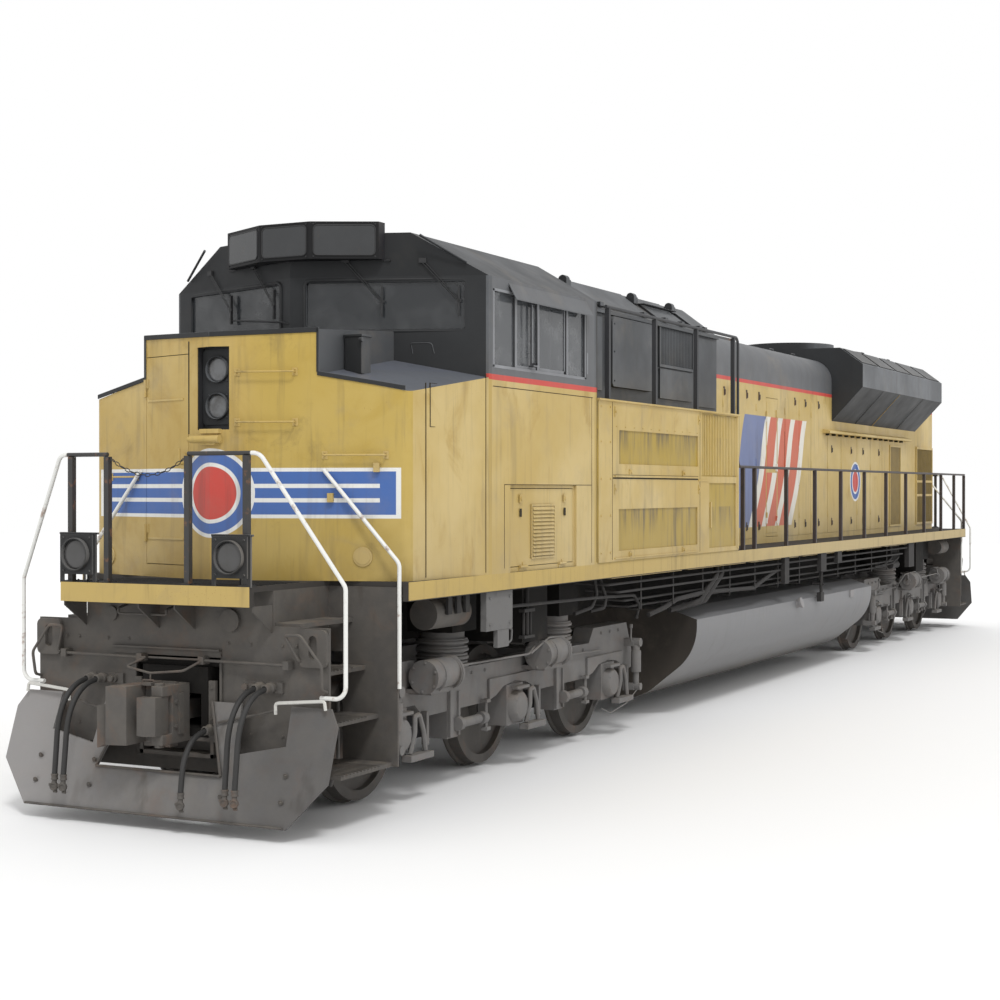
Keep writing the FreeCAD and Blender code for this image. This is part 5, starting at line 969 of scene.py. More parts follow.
gather("hoodLatches", mirroredAll(latches), ironFinish("latchFinish", "grime", 0.5, 0.1),
       0.002)
gather("hoodDoors", mirroredAll(doors), yellowPaint("hoodDoorPaint", upper=3.84, marks=bandMarks),
       0.002)
gather("hoodGrilles", mirroredAll(darkerYellow), plainFinish("grilleFinish", (0.24, 0.16, 0.03), 0.6, 0.45, 40))
gather("hoodShadows", mirroredAll(dark), paintedSeamShade)

# the hood's roof: hatches, lifting eyes, the blower duct, and three horn bells
roof = {
    "hatches": ((-2.2, -1.2), (-1.05, -0.05), (1.5, 2.4), (2.5, 3.35)),
    "top": 4.40,
    "horn": (0.30, -1.70),
    "bells": ((-0.10, 4.52, 0.060, 0.36), (0.0, 4.54, 0.075, 0.44), (0.10, 4.52, 0.055, 0.32)),
}


# a lifting eye: a hoop that stands on a roof
def hoop(across, near, far, level, rise, radius):
    return tube([(across, near, level), (across, near, level + rise), (across, far, level + rise),
                 (across, far, level)], radius, 0.02)


top = roof["top"]
parts = []
for near, far in roof["hatches"]:
    parts += boxes((-0.52, 0.52, near, far, top, top + 0.035))
    parts += bolts([(across, place, top + 0.035) for across in (-0.47, 0.47)
                    for place in (near + 0.08, (near + far) / 2, far - 0.08)], (0, 0, 1), 0.013)
    parts += [hoop(across, near + 0.2, near + 0.36, 4.38, 0.06, 0.010) for across in (-0.60, 0.60)]
parts += boxes((-0.30, 0.30, 0.14, 0.20, top, 4.50), (-0.30, 0.30, 1.30, 1.36, top, 4.50),
               (-0.30, -0.24, 0.14, 1.36, top, 4.50), (0.24, 0.30, 0.14, 1.36, top, 4.50),
               (0.16, 0.44, -1.74, -1.66, top, 4.53), (-0.42, 0.42, 10.0, 10.03, 4.32, top))
parts += bars("z", (0.30, -1.62, 4.42, 0.08, 0.03, 12))
for across, level, bell, reach in roof["bells"]:
    parts.append(spun([(0.0, 0.0), (0.0, 0.022), (0.06, 0.024), (reach * 0.7, bell * 0.62), (reach, bell),
                       (reach - 0.006, bell * 0.9), (reach * 0.72, bell * 0.5), (0.08, 0.0)],
                      (roof["horn"][0] + across, roof["horn"][1], level), (0, -1, 0), 20))
gather("hoodRoofFittings", parts, greyPaint("roofPaint", "grey", 0.4, 0.5, 4.0, 4.6), 0.003)

# rear end of the hood: panels, hinges, grab irons and two lamps
rearEnd = face((0, 10.0, 0), (-1, 0, 0))
parts = boxes((-0.80, -0.18, 9.998, 10.012, 1.90, 3.55), (0.20, 0.82, 9.998, 10.012, 1.90, 2.60),
              (0.20, 0.82, 9.998, 10.012, 2.68, 3.55), (-0.20, 0.20, 10.0, 10.03, 3.64, 3.98))
parts += laid(rearEnd, grabIron(0.05, 0.13, 2.7, 0.05, 0.008))
for level in (2.15, 2.75, 3.35):
    parts += bars("z", (-0.80, 10.018, level - 0.05, 0.10, 0.012, 8))
    parts += laid(rearEnd, grabIron(-0.72, -0.28, level - 0.06, 0.06, 0.009))
gather("hoodRearPanels", parts, yellowPaint("rearPaint"), 0.003)
parts = laid(Matrix.Rotation(math.pi, 4, "Z"), [item for level in (3.73, 3.90)
                                                for item in lampAt(0, level, -10.055, 0.075)])
gather("rearLamps", parts, plainFinish("rearLampFinish", (0.12, 0.12, 0.12), 0.3, metallic=0.4))
print("hood fitted")

radiator = {
    "underside": ((0.985, 3.50), (1.425, 3.985)),
    "seams": (5.72, 4.72, 7.30),  # the first is pale
    "roof": ((1.40, 4.34), (1.12, 4.55)),
    "span": (3.50, 8.66),
    "fans": (4.475, 6.085, 7.695),
    "rings": (0.20, 0.34, 0.48, 0.62),
}
(innerX, innerZ), (outerX, outerZ) = radiator["underside"]
parts = [plate([(innerX + 0.006, place, innerZ), (outerX, place, outerZ - 0.010),
                (outerX + 0.004, place, outerZ - 0.002), (innerX, place, innerZ + 0.006)], (0, 0.009, 0))
         for place in radiator["seams"]]
seamPaint = Paint("seamPaint")
pale = seamPaint.y.within(radiator["seams"][0] - 0.02, radiator["seams"][0] + 0.03)
seamPaint.done(seamPaint.blend(pale, "black", "yellowWorn"), 0.6)
gather("radiatorSeams", mirroredAll(parts), seamPaint.material)
(eaveX, eaveZ), (ridgeX, ridgeZ) = radiator["roof"]
near, far = radiator["span"]
parts = []
for step in range(5):
    start = near + (far - near) * step / 5 + 0.05
    parts.append(plate([(eaveX, start, eaveZ), (eaveX, start + 0.90, eaveZ), (ridgeX, start + 0.90, ridgeZ),
                        (ridgeX, start, ridgeZ)], (0.008, 0, 0.011)))
for first, second in zip(radiator["fans"], radiator["fans"][1:]):
    middle = (first + second) / 2
    parts.append(hoop(0.95, middle - 0.08, middle + 0.08, 4.565, 0.055, 0.011))
parts = mirroredAll(parts)
for place in radiator["fans"]:  # guards over the fans: rings and spokes of rod
    parts += [loopTube([(a, place + b, 4.672) for a, b in circle(reach, range(0, 360, 10))], 0.006, 1)
              for reach in radiator["rings"]]
    parts += [bar((-a, place - b, 4.680), (a, place + b, 4.680), 0.008, 6)
              for a, b in circle(0.672, range(0, 180, 30))]
gather("radiatorPanels", parts, greyPaint("radiatorPanelPaint", "grey", 0.4, 0.4, 4.2, 4.8),
       0.002)
print("radiators fitted")

# pilots, ploughs, steps and couplers; the rear end repeats the front
pilot = {
    "face": -10.80,
    "gussets": (-0.88, -0.18, 0.15, 0.84),
    "lug": (1.10, 1.335, 1.215, 1.49),
    "rods": ((-1.03, -0.31, 1.236), (0.27, 1.01, 1.231)),
    "treads": ((0.442, 1.44), (0.802, 1.33), (1.162, 1.21)),
    "hoses": (-0.76, -0.668, 0.782, 0.874),
}
front = pilot["face"]


# the same from a list of (x, out from the pilot, z)
def ahead(*rows):
    return [(across, front - out, level) for across, out, level in rows]


parts = [plate(ahead((place, 0, 1.655), (place, 0.25, 1.655), (place, 0.25, 1.62), (place, 0, 1.45)),
               (0.012, 0, 0)) for place in pilot["gussets"]]
parts += bars("y", (0.487, front - 0.03, 1.53, 0.03, 0.085, 28),
              (-0.612, front - 0.025, 1.55, 0.025, 0.055, 24))
parts += boxes((-0.60, 0.40, front - 0.035, front, 1.298, 1.312),
               (-0.60, 0.40, front - 0.012, front, 1.250, 1.300))
near, far, low, high = pilot["lug"]
middle = (near + far) / 2
lug = plate([(a, front - 0.001, z) for a, z in roundedLoop((near, low), (far, high), 0.045)], (0, -0.034, 0))
loop = roundedLoop((middle - 0.035, low + 0.06), (middle + 0.035, high - 0.045), 0.034)
slot = plate([(a, front + 0.02, z) for a, z in loop], (0, -0.08, 0))
pair = [cutBy(lug, [slot]),
        tube(ahead((1.11, 0, 1.257), (1.11, 0.05, 1.262), (1.021, 0.10, 1.446), (1.155, 0.10, 1.451),
                   (1.331, 0.09, 1.234), (1.32, 0.07, 1.06), (1.32, 0, 1.04)), 0.012)]
pair += bolts([(across, front, level) for across in (0.46, 0.66, 0.94, 1.06) for level in (0.70, 1.36)],
              (0, -1, 0), 0.012)
for level, outside in pilot["treads"]:  # nosings, and ribs that stop a boot from slipping
    pair += boxes(*((outside - 0.36, outside, -10.765 + 0.05 * step, -10.753 + 0.05 * step,
                     level - 0.002, level + 0.008) for step in range(11)))
parts += mirroredAll(pair)
for first, last, level in pilot["rods"]:
    parts.append(bar(*ahead((first, 0.06, level), (last, 0.06, level - 0.006)), 0.011, 10))
    parts += boxes((first - 0.03, first + 0.02, front - 0.08, front, level - 0.03, level + 0.03),
                   (last - 0.02, last + 0.03, front - 0.08, front, level - 0.035, level + 0.025))
parts += [tube(ahead((-0.48, 0, 1.62), (-0.48, 0.10, 1.60), (-0.48, 0.10, 1.56), (-0.03, 0.10, 1.56),
                     (-0.03, 0.10, 1.60), (-0.03, 0, 1.62)), 0.010),
          tube(ahead((-0.31, 0.06, 1.230), (-0.22, 0.10, 1.238), (-0.31, 0.22, 1.175), (-0.08, 0.23, 1.135),
                     (0.206, 0.21, 1.163), (0.27, 0.06, 1.231)), 0.010),
          tube(ahead((0.27, 0.06, 1.235), (0.10, 0.07, 1.235), (-0.22, 0.07, 1.235)), 0.009),
          bar(*ahead((0.403, 0.014, 1.21), (0.403, 0.014, 0.665)), 0.012, 10),
          tube(ahead((-0.075, 0.23, 1.135), (-0.075, 0.235, 1.10)), 0.007),
          tube(ahead((-0.075, 0.23, 1.105), (-0.075, 0.235, 1.088)), 0.007)]
# manifold elbows and cocks behind the hoses
for place, level in [(place, 1.055) for place in pilot["hoses"]] + [(0.345, 0.722)]:
    parts.append(spun([(0.0, 0.022), (0.0, 0.042), (0.028, 0.042), (0.034, 0.034), (0.085, 0.034),
                       (0.090, 0.026), (0.090, 0.022)], (place, front - 0.052, level), (0, -1, 0), 18))
parts += [bar(*ahead((place, 0.05, 1.055), (place, 0.075, 1.055)), 0.026, 6) for place in (-0.585, 0.650)]
# the coupler carrier, the striker casting round the pocket's mouth, and the backing plates
parts += boxes((-0.34, 0.34, front - 0.02, front + 0.20, 0.50, 0.53),
               (-0.34, 0.34, front + 0.16, front + 0.20, 0.50, 0.66),
               (-0.37, 0.37, front - 0.03, front + 0.01, 0.625, 0.655),
               (-0.855, 0.855, front + 0.14, front + 0.16, 0.37, 0.66))
parts += mirroredAll(boxes((0.31, 0.34, front - 0.02, front + 0.20, 0.50, 0.66),
                           (0.31, 0.37, front - 0.04, front - 0.01, 0.655, 1.08),
                           (0.82, 0.84, front + 0.02, front + 0.16, 0.60, 0.66)))
parts += bolts([(across, front - 0.04, level) for across in (-0.34, 0.34)
                for level in (0.70, 0.80, 0.92, 1.03)], (0, -1, 0), 0.014)
gather("pilotFittings", mirroredAll(parts, "y"), ironFinish("pilotFittingFinish", "running", 0.2, 0.5),
       0.0015)

plough = {
    "top": (-10.868, 0.93),
    "base": (-11.158, 0.10),
    "mouth": ((-0.37, 0.93), (-0.57, 0.42), (0.57, 0.42), (0.37, 0.93)),
}


def ploughPoint(across, level, out=0.0):
    (topY, topZ), (baseY, baseZ) = plough["top"], plough["base"]
    return (across, topY + (baseY - topY) * (topZ - level) / (topZ - baseZ) - out, level)


corners = [ploughPoint(across, level, 0.008) for across, level in plough["mouth"]]
pair = [tube([ploughPoint(0.46, 0.79, 0.012), ploughPoint(0.95, 0.90, 0.012)], 0.010)]
pair += bolts([ploughPoint(across, level) for across in (0.60, 1.12) for level in (0.28, 0.46)],
              (0, -1, -0.35), 0.016)
parts = mirroredAll(pair) + [tube([first, second], 0.011) for first, second in zip(corners, corners[1:])]
parts.append(tube([ploughPoint(-1.17, 0.112, 0.006), ploughPoint(1.17, 0.112, 0.006)], 0.010))
rails = mirroredAll([tube([ploughPoint(0.95, 0.875, 0.02), ploughPoint(0.95, 0.955, 0.05),
                           (1.36, -10.90, 0.990), (1.37, -10.90, 0.925)], 0.013)])
gather("ploughEdges", mirroredAll(parts, "y"), ironFinish("ploughEdgeFinish", "running", 0.2, 0.4))
gather("ploughRails", mirroredAll(rails, "y"), whiteIron)

# walkway end: tread ribs on the platform, feet of the posts, and the chain between them
chain = {
    "posts": (0.80, 0.283, -0.457, -0.80),
    "span": (-0.435, 0.262),
    "hang": (2.735, 0.13),  # level of its ends, and how far it sags
    "links": 15,
}
parts = boxes(*((-0.84, 0.84, -11.08 + 0.08 * step, -11.065 + 0.08 * step, 1.799, 1.806)
                for step in range(9)))
for across in chain["posts"]:
    parts += boxes((across - 0.045, across + 0.045, -11.10, -11.0, 1.80, 1.812))
    parts += bolts([(across + a, -11.015, 1.812) for a in (-0.032, 0.032)], (0, 0, 1), 0.008)
for step in range(chain["links"]):
    share = (step + 0.5) / chain["links"]
    slack = 2 * share - 1
    across = chain["span"][0] + (chain["span"][1] - chain["span"][0]) * share
    level = chain["hang"][0] - chain["hang"][1] * (1 - slack ** 2)
    link = loopTube([(a, b * 12 / 26, 0) for a, b in circle(0.026, range(0, 360, 45))], 0.0036, 1)
    parts += laid(Matrix.Translation((across, -11.05, level)) @
                  Matrix.Rotation(-math.atan2(slack * 0.52, 0.70), 4, "Y") @
                  Matrix.Rotation(math.radians(90 * (step % 2)), 4, "X"), [link])
gather("walkwayEnds", parts + turnedCopies(parts), ironBlack)


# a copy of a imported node's mesh, with its flat faces whole again
def castFrom(node):
    made = bpy.data.objects.new(node + "Cast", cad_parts[node].data.copy())
    scene.collection.objects.link(made)
    edit(made, outward)
    return edit(made, lambda: bpy.ops.mesh.dissolve_limited(angle_limit=math.radians(3)))


# couplers and their knuckles; then the guard horn, lifter, pin heads and carrier ribs
couplerParts = [plate([(-0.355, -11.20, 0.60), (-0.355, -11.20, 0.91), (-0.225, -11.14, 0.94),
                       (-0.225, -11.14, 0.66)], (0, -0.10, 0)),
                tube([(-0.09, -11.10, 1.065), (-0.09, -11.10, 1.092), (0.01, -11.10, 1.092),
                      (0.01, -11.10, 1.065)], 0.008, 0.02)]
couplerParts += bars("z", (0.115, -11.17, 1.060, 0.025, 0.036, 20), (0.115, -11.17, 0.615, 0.025, 0.036, 20))
couplerParts += boxes((-0.225, -0.20, -11.20, -11.02, 0.72, 0.98), (-0.06, 0.03, -11.16, -11.04, 1.06, 1.082),
                      (-0.15, 0.13, -11.0, -10.96, 1.060, 1.078), (-0.19, -0.17, -11.02, -10.98, 0.70, 1.0),
                      (0.165, 0.185, -11.02, -10.97, 0.70, 1.0), (-0.12, 0.12, -11.05, -10.96, 0.600, 0.640))
couplerParts += bolts([(0.17, -11.05, level) for level in (0.76, 0.94)], (1, 0, 0), 0.016)
for end, fittings in (("front", couplerParts), ("rear", turnedCopies(couplerParts))):
    for part, edge in (("coupler", 0.020), ("knuckle", 0.022)):
        node = f"{end}_{part}"
        gather(end + part.capitalize() + "Cast", [castFrom(node)],
               ironFinish(f"{end}{part}Finish", "running", 0.35, 0.45), edge, body=node,
               smooth=50, replaces=[node], steps=3)
    gather(end + "CouplerParts", fittings, ironFinish(end + "HornFinish", "running", 0.3, 0.5),
           0.006, end + "_coupler")
print("ends fitted")

# trucks: every fitting is made for the front truck's left side, then repeated
truck = {
    "axles": (-9.52, -7.40, -5.28),
    "axleLevel": 0.5615,
    "beam": 1.131,
    "springs": (-8.46, -6.34),
    "springPlace": 0.985,
    "cylinders": ((-9.335, -8.925), (-7.215, -6.805)),
    "cylinderPlace": (1.30, 1.008),
    "dampers": (-4.755, -9.68),
}


def truckSide():
    out = truck["beam"]
    made = []
    # rubber springs: four rings stacked above a steel plate
    rim = [(0.0, 0.10), (0.0, 0.222), (0.014, 0.228), (0.028, 0.222), (0.028, 0.10), (0.0, 0.10)]
    for place in truck["springs"]:
        made += [spun(rim, (truck["springPlace"], place, 1.005 + 0.066 * step), (0, 0, 1), 36)
                 for step in range(4)]
        made += boxes((out - 0.11, out + 0.055, place - 0.24, place + 0.24, 0.985, 1.000))
    # brake cylinders: end flanges, bolts, a bracket, and the air pipe that joins them
    across, level = truck["cylinderPlace"]
    for near, far in truck["cylinders"]:
        made += bars("y", (across, near - 0.012, level, 0.012, 0.137, 28),
                     (across, near + 0.13, level, 0.016, 0.137, 28),
                     (across, far - 0.03, level, 0.016, 0.137, 28), (across, far, level, 0.030, 0.137, 28),
                     (across, far + 0.03, level, 0.03, 0.06, 18))
        made += boxes((out, across + 0.03, near + 0.06, far - 0.05, level - 0.15, level - 0.11),
                      (out, across - 0.02, near + 0.10, far - 0.10, level - 0.11, level + 0.02))
        made += bolts([(across + 0.115 * math.cos(angle), near - 0.012, level + 0.115 * math.sin(angle))
                       for angle in (0.4, 1.45, 2.5, 3.55, 4.6, 5.65)], (0, -1, 0), 0.012)
        bend = [(0, 0.05, 0.02), (0.03, 0.10, 0.03), (0.02, 0.10, 0.12), (-0.10, 0.04, 0.13)]
        made.append(tube([(across + x, far + y, level + z) for x, y, z in bend], 0.014))
    made += [tube([(1.36, -9.34, 1.09), (1.37, -9.00, 1.075), (1.33, -8.86, 1.030), (1.32, -8.74, 1.050),
                   (1.34, -7.50, 1.040), (1.30, -7.30, 1.09)], 0.010),
             tube([(1.34, -7.46, 1.04), (1.35, -7.10, 1.155), (1.30, -6.60, 1.13),
                   (out + 0.05, -6.50, 0.93), (out + 0.03, -5.60, 0.90), (out + 0.03, -5.45, 0.90)], 0.010)]
    # pedestal legs with gussets, and second layer plates over the inner axles
    for near, far in ((-8.635, -8.435), (-6.525, -6.325)):
        made += boxes((out - 0.004, out + 0.030, near, near + 0.055, 0.43, 0.96),
                      (out - 0.004, out + 0.018, far - 0.03, far, 0.43, 0.80))
        made.append(plate([(out + x, near + 0.02, z) for x, z in ((0, 0.96), (0.10, 0.96), (0, 0.82))],
                          (0, 0.018, 0)))
    for axle in truck["axles"][1:]:
        arch = [(-0.50, 0.845), (-0.50, 0.665), (-0.38, 0.69), (-0.22, 0.76), (0, 0.785), (0.22, 0.76),
                (0.38, 0.70), (0.40, 0.845)]
        made.append(plate([(out, axle + along, level) for along, level in arch], (0.022, 0, 0)))
        # brake rigging ahead of the wheel: link, head and shoe, hung from the beam
        made += bars("y", (out + 0.03, axle - 1.12, 0.53, 0.06, 0.060, 8),
                     (out + 0.03, axle - 1.08, 0.53, 0.36, 0.040, 16),
                     (out + 0.03, axle - 0.70, 0.53, 0.08, 0.055, 16))
        made += bars("z", (out + 0.05, axle - 0.63, 0.41, 0.28, 0.016, 10))
        made += boxes((out + 0.02, out + 0.08, axle - 0.665, axle - 0.595, 0.66, 0.69),
                      (out + 0.02, out + 0.08, axle - 0.665, axle - 0.595, 0.42, 0.45))
    first = truck["axles"][0]
    made += boxes((out, out + 0.03, first - 0.30, first - 0.22, 0.60, 0.80))
    for axle in truck["axles"]:
        # journal: a cap with bolts, the pad above, and the arm behind it that stands on a foot
        made += [spun([(0.0, 0.0), (0.0, 0.115), (-0.02, 0.135), (-0.09, 0.150), (-0.09, 0.0)],
                      (out + 0.095, axle, truck["axleLevel"]), (1, 0, 0), 28),
                 tube([(out + 0.07, axle + 0.13, 0.40), (out + 0.09, axle + 0.17, 0.56),
                       (out + 0.08, axle + 0.19, 0.69), (out + 0.08, axle + 0.26, 0.70),
                       (out + 0.08, axle + 0.33, 0.56), (out + 0.08, axle + 0.36, 0.40)], 0.022, 0.05)]
        made += bolts([(out + 0.085, axle + 0.110 * math.cos(angle),
                        truck["axleLevel"] + 0.110 * math.sin(angle))
                       for angle in (0.5, 1.57, 2.6, 3.7, 4.7, 5.8)], (1, 0, 0), 0.013)
        made += boxes((out + 0.04, out + 0.13, axle + 0.05, axle + 0.42, 0.345, 0.395),
                      (out + 0.05, out + 0.11, axle - 0.12, axle + 0.12, 0.72, 0.745),
                      (out, out + 0.05, axle + 0.44, axle + 0.48, 0.43, 0.70))
    # dampers at both ends of the truck, with their brackets, and a cable and a pipe at the inner one
    for place in truck["dampers"]:
        made += bars("z", (1.245, place, 0.62, 0.22, 0.052, 22), (1.245, place, 0.84, 0.06, 0.040, 18),
                     (1.245, place, 0.48, 0.16, 0.030, 16))
        made += bars("x", (1.20, place, 0.925, 0.10, 0.045, 20), (1.20, place, 0.47, 0.10, 0.038, 20))
        made += boxes((out - 0.02, 1.235, place - 0.05, place + 0.05, 0.885, 0.965),
                      (out - 0.02, 1.235, place - 0.045, place + 0.045, 0.435, 0.500))
    made += [tube([(1.24, -4.86, 0.94), (1.28, -4.98, 0.98), (1.29, -5.00, 1.10)], 0.010),
             tube([(1.26, -4.76, 0.44), (1.26, -5.05, 0.33), (1.24, -5.42, 0.27), (1.20, -5.55, 0.33)],
                  0.006)]
    made += bars("z", (1.29, -5.00, 1.09, 0.04, 0.018, 6))
    made += bolts([(out, place, 1.06) for place in (-5.40, -5.18, -4.96)] +
                  [(out, place, 0.93) for place in (-8.20, -7.95, -6.10, -5.85)], (1, 0, 0), 0.014)
    # sand pipes beside the outer wheels
    return made + [tube([(0.90, place, 0.90), (0.90, place, 0.42), (0.80, place + lean, 0.20)], 0.016)
                   for place, lean in ((-9.98, 0.05), (-4.82, -0.05))]


parts = mirroredAll(truckSide())
for end, fittings in (("rear", mirroredCopies(parts, "y")), ("front", parts)):
    gather(end + "TruckFittings", fittings, ironFinish(end + "TruckFinish", "beam", 0.12, 0.5),
           0.004, end + "_truck")
print("trucks fitted")

# pipes, boxes and fittings below the deck
under = {
    "run": (-6.10, 5.90),
    "bundle": ((1.500, 1.585), (1.490, 1.500), (1.42, 1.400), (1.33, 1.320)),
    "hangers": (-5.2, -4.3, -3.4, -2.5, -1.6, -0.7, 0.2, 1.1, 2.0, 2.9, 3.8, 4.7),
}


def pipesLeft():
    near, far = under["run"]
    made = []
    for number, (across, level) in enumerate(under["bundle"]):
        start, end = near + 0.30 * number, far - 0.25 * number
        made.append(tube([(across - 0.30, start - 0.12, level + 0.02), (across, start, level),
                          (across, end, level), (across - 0.25, end + 0.10, level)], 0.013))
    for place in under["hangers"]:
        made += boxes((1.475, 1.483, place - 0.012, place + 0.012, 1.29, 1.655),
                      (1.33, 1.483, place - 0.012, place + 0.012, 1.29, 1.300))
    # the pipe from the cab end that bends down towards the truck, its loops, and a thicker one
    made += [tube([(1.44, -8.10, 1.50), (1.44, -6.246, 1.471), (1.44, -5.288, 1.444), (1.43, -5.12, 1.336),
                   (1.36, -5.02, 1.22)], 0.016),
             bar((1.36, -5.03, 1.23), (1.355, -5.015, 1.195), 0.022, 6),
             tube([(1.42, -6.237, 1.66), (1.43, -6.20, 1.50), (1.42, -6.30, 1.38), (1.36, -6.56, 1.335)],
                  0.018),
             tube([(1.42, -6.11, 1.66), (1.44, -6.00, 1.45), (1.43, -6.02, 1.36), (1.34, -6.14, 1.335)],
                  0.018),
             tube([(1.40, -4.80, 1.215), (1.44, -4.45, 1.27), (1.46, -4.15, 1.34), (1.46, -3.30, 1.37),
                   (1.46, -1.60, 1.33), (1.47, -1.00, 1.46), (1.46, -0.70, 1.50), (1.40, -0.3, 1.52)], 0.026)]
    # slanting drain pipes ahead of the tank, and bent ones behind it
    for place in (-3.95, -3.79):
        made.append(tube([(1.30, place, 1.21), (1.46, place + 0.50, 1.28), (1.48, place + 1.00, 1.55),
                          (1.42, place + 1.15, 1.65)], 0.034))
    for place in (5.0, 5.45):
        made.append(tube([(1.46, place, 1.655), (1.47, place + 0.04, 1.45), (1.42, place - 0.20, 1.36),
                          (1.36, place - 0.55, 1.34)], 0.014))
    # the bracket box under the sill, with a smaller box and a cable loop below
    made += boxes((1.475, 1.530, -8.700, -8.215, 1.330, 1.657), (1.485, 1.525, -8.485, -8.275, 1.180, 1.345))
    made.append(tube([(1.515, -8.28, 1.335), (1.515, -8.20, 1.32), (1.505, -8.19, 1.22),
                      (1.49, -8.27, 1.19)], 0.010))
    made += bolts([(1.53, place, level) for place in (-8.64, -8.275) for level in (1.38, 1.60)],
                  (1, 0, 0), 0.011)
    # screw hanger above the middle axle
    made += boxes((1.335, 1.395, -7.70, -7.49, 1.42, 1.45), (1.335, 1.395, -7.70, -7.49, 1.19, 1.215))
    made += bars("z", (1.365, -7.665, 1.19, 0.26, 0.014, 8), (1.365, -7.525, 1.19, 0.26, 0.014, 8),
                 (1.365, -7.595, 1.20, 0.455, 0.020, 8))
    # the slotted box near the front steps, then boxes, valves and the fuel filler along the sill
    made += boxes(*((1.42, 1.445, place, place + 0.07, 1.50, 1.655) for place in (-9.20, -9.05, -8.90)),
                  (1.49, 1.545, -0.62, -0.44, 1.33, 1.655), (1.49, 1.55, 0.95, 1.20, 1.42, 1.655),
                  (1.49, 1.55, 1.75, 1.95, 1.50, 1.66), (1.48, 1.54, 0.98, 1.12, 1.02, 1.14),
                  (1.46, 1.53, 5.9, 6.25, 1.28, 1.655))
    made += bars("z", (1.52, 1.05, 1.10, 0.32, 0.022, 12))
    made += bars("x", (1.40, 1.05, 1.25, 0.16, 0.016, 10))
    return made + bars("y", (1.38, 5.3, 1.33, 0.4, 0.055, 16))


pipeFinish = Paint("pipeFinish")
bracket = pipeFinish.y.within(-8.75, -8.15, 0.01) * (pipeFinish.x > 0)
ground = pipeFinish.blend(bracket, (0.022, 0.020, 0.019), (0.13, 0.127, 0.124))
spots = pipeFinish.noise(6, 5, 0.65).rise(0.52, 0.70)
pipeFinish.bump(pipeFinish.noise(40, 4), 0.002, 0.4)
pipeFinish.done(pipeFinish.blend(spots * 0.4, ground, "running"), 0.8)
gather("undersidePipes", mirroredAll(pipesLeft()), pipeFinish.material, 0.002)

# the lengths of yellow lip below the sill, then a filler cap and a plate on the tank's side
lips = boxes(*((1.44, 1.50, near, near + 1.9, 1.640, 1.652) for near in (-6.0, -3.9, -1.8, 0.3, 2.4, 4.5)))
gather("sillLips", mirroredAll(lips), yellowPaint("lipPaint"))
parts = boxes((1.44, 1.47, 2.7, 2.9, 0.98, 1.08))
parts += [bar((1.40, 0.2, 1.02), (1.50, 0.2, 1.05), 0.055, 20),
          bar((1.49, 0.2, 1.047), (1.52, 0.2, 1.056), 0.068, 20)]
gather("tankFittings", mirroredAll(parts), paleIron, 0.002)
print("underside fitted")

# inside of the cab
seats = {
    "centre": 0.90,
    "pads": {  # two corners, and how far it leans back
        "seatCushion": ((-0.23, -7.63, 2.795), (0.23, -7.20, 2.895), 0.0),
        "seatBack": ((-0.22, -7.27, 2.90), (0.22, -7.17, 3.43), -0.06),
    },
    "grain": 0.013,
    "puff": 4.0,
    "moments": 15,
    "fill": 0.8,
}


# a stuffed pad: a soft box blown up as cloth, then let settle
def stuffed(low, high, lean):
    made = block(low, high)
    hinge = Matrix.Translation(low)
    laid(hinge @ Matrix.Rotation(lean, 4, "X") @ hinge.inverted(), [made])
    pick([made])
    finer = made.modifiers.new("finer", "REMESH")
    finer.mode = "VOXEL"
    finer.voxel_size = seats["grain"]
    bpy.ops.object.modifier_apply(modifier="finer")
    cloth = made.modifiers.new("stuffing", "CLOTH")
    cloth.settings.use_pressure = True
    cloth.settings.uniform_pressure_force = seats["puff"]
    cloth.settings.effector_weights.gravity = 0
    cloth.settings.quality = 4
    cloth.point_cache.frame_end = 20
    for moment in range(1, seats["moments"] + 1):
        scene.frame_set(moment)
    bpy.ops.object.modifier_apply(modifier="stuffing")
    scene.frame_set(1)
    return edit(made, lambda: bpy.ops.mesh.vertices_smooth(factor=0.5, repeat=2))


seatCloth = Paint("seatCloth")
weave = (seatCloth.x * 1400).sine() * (seatCloth.z * 1400 + seatCloth.y * 1400).sine()
seatCloth.bump(weave * 0.5 + seatCloth.noise(30, 3), 0.001, 0.5)
faded = seatCloth.noise(12, 5).rise(0.4, 0.7)
seatCloth.done(seatCloth.blend(faded, (0.020, 0.022, 0.030), (0.045, 0.046, 0.052)), 0.92)
pads = {name: stuffed(*corners) for name, corners in seats["pads"].items()}
frames = []
for label, across in (("Left", seats["centre"]), ("Right", -seats["centre"])):
    for name, pad in pads.items():
        made = copyBy(pad, Matrix.Translation((across, 0, 0)))
        made = gather(name + label, [made], seatCloth.material, smooth=80)
    frames.append(spun([(0.0, 0.0), (0.0, 0.19), (0.03, 0.18), (0.05, 0.06), (0.40, 0.05), (0.43, 0.12),
                        (0.44, 0.0)], (across, -7.42, 2.302), (0, 0, 1), 24))
    frames += boxes((across - 0.21, across + 0.21, -7.62, -7.20, 2.74, 2.79),
                    (across - 0.19, across + 0.19, -7.165, -7.152, 2.86, 3.38))
    for arm in (across - 0.245, across + 0.245):
        frames.append(tube([(arm, -7.20, 2.85), (arm, -7.20, 3.05), (arm, -7.50, 3.06)], 0.014))
        frames += boxes((arm - 0.02, arm + 0.02, -7.56, -7.24, 3.06, 3.085))
for pad in pads.values():
    bpy.data.objects.remove(pad)
gather("seatFrames", frames, ironBlack, 0.002, replaces=["cab_seats"])

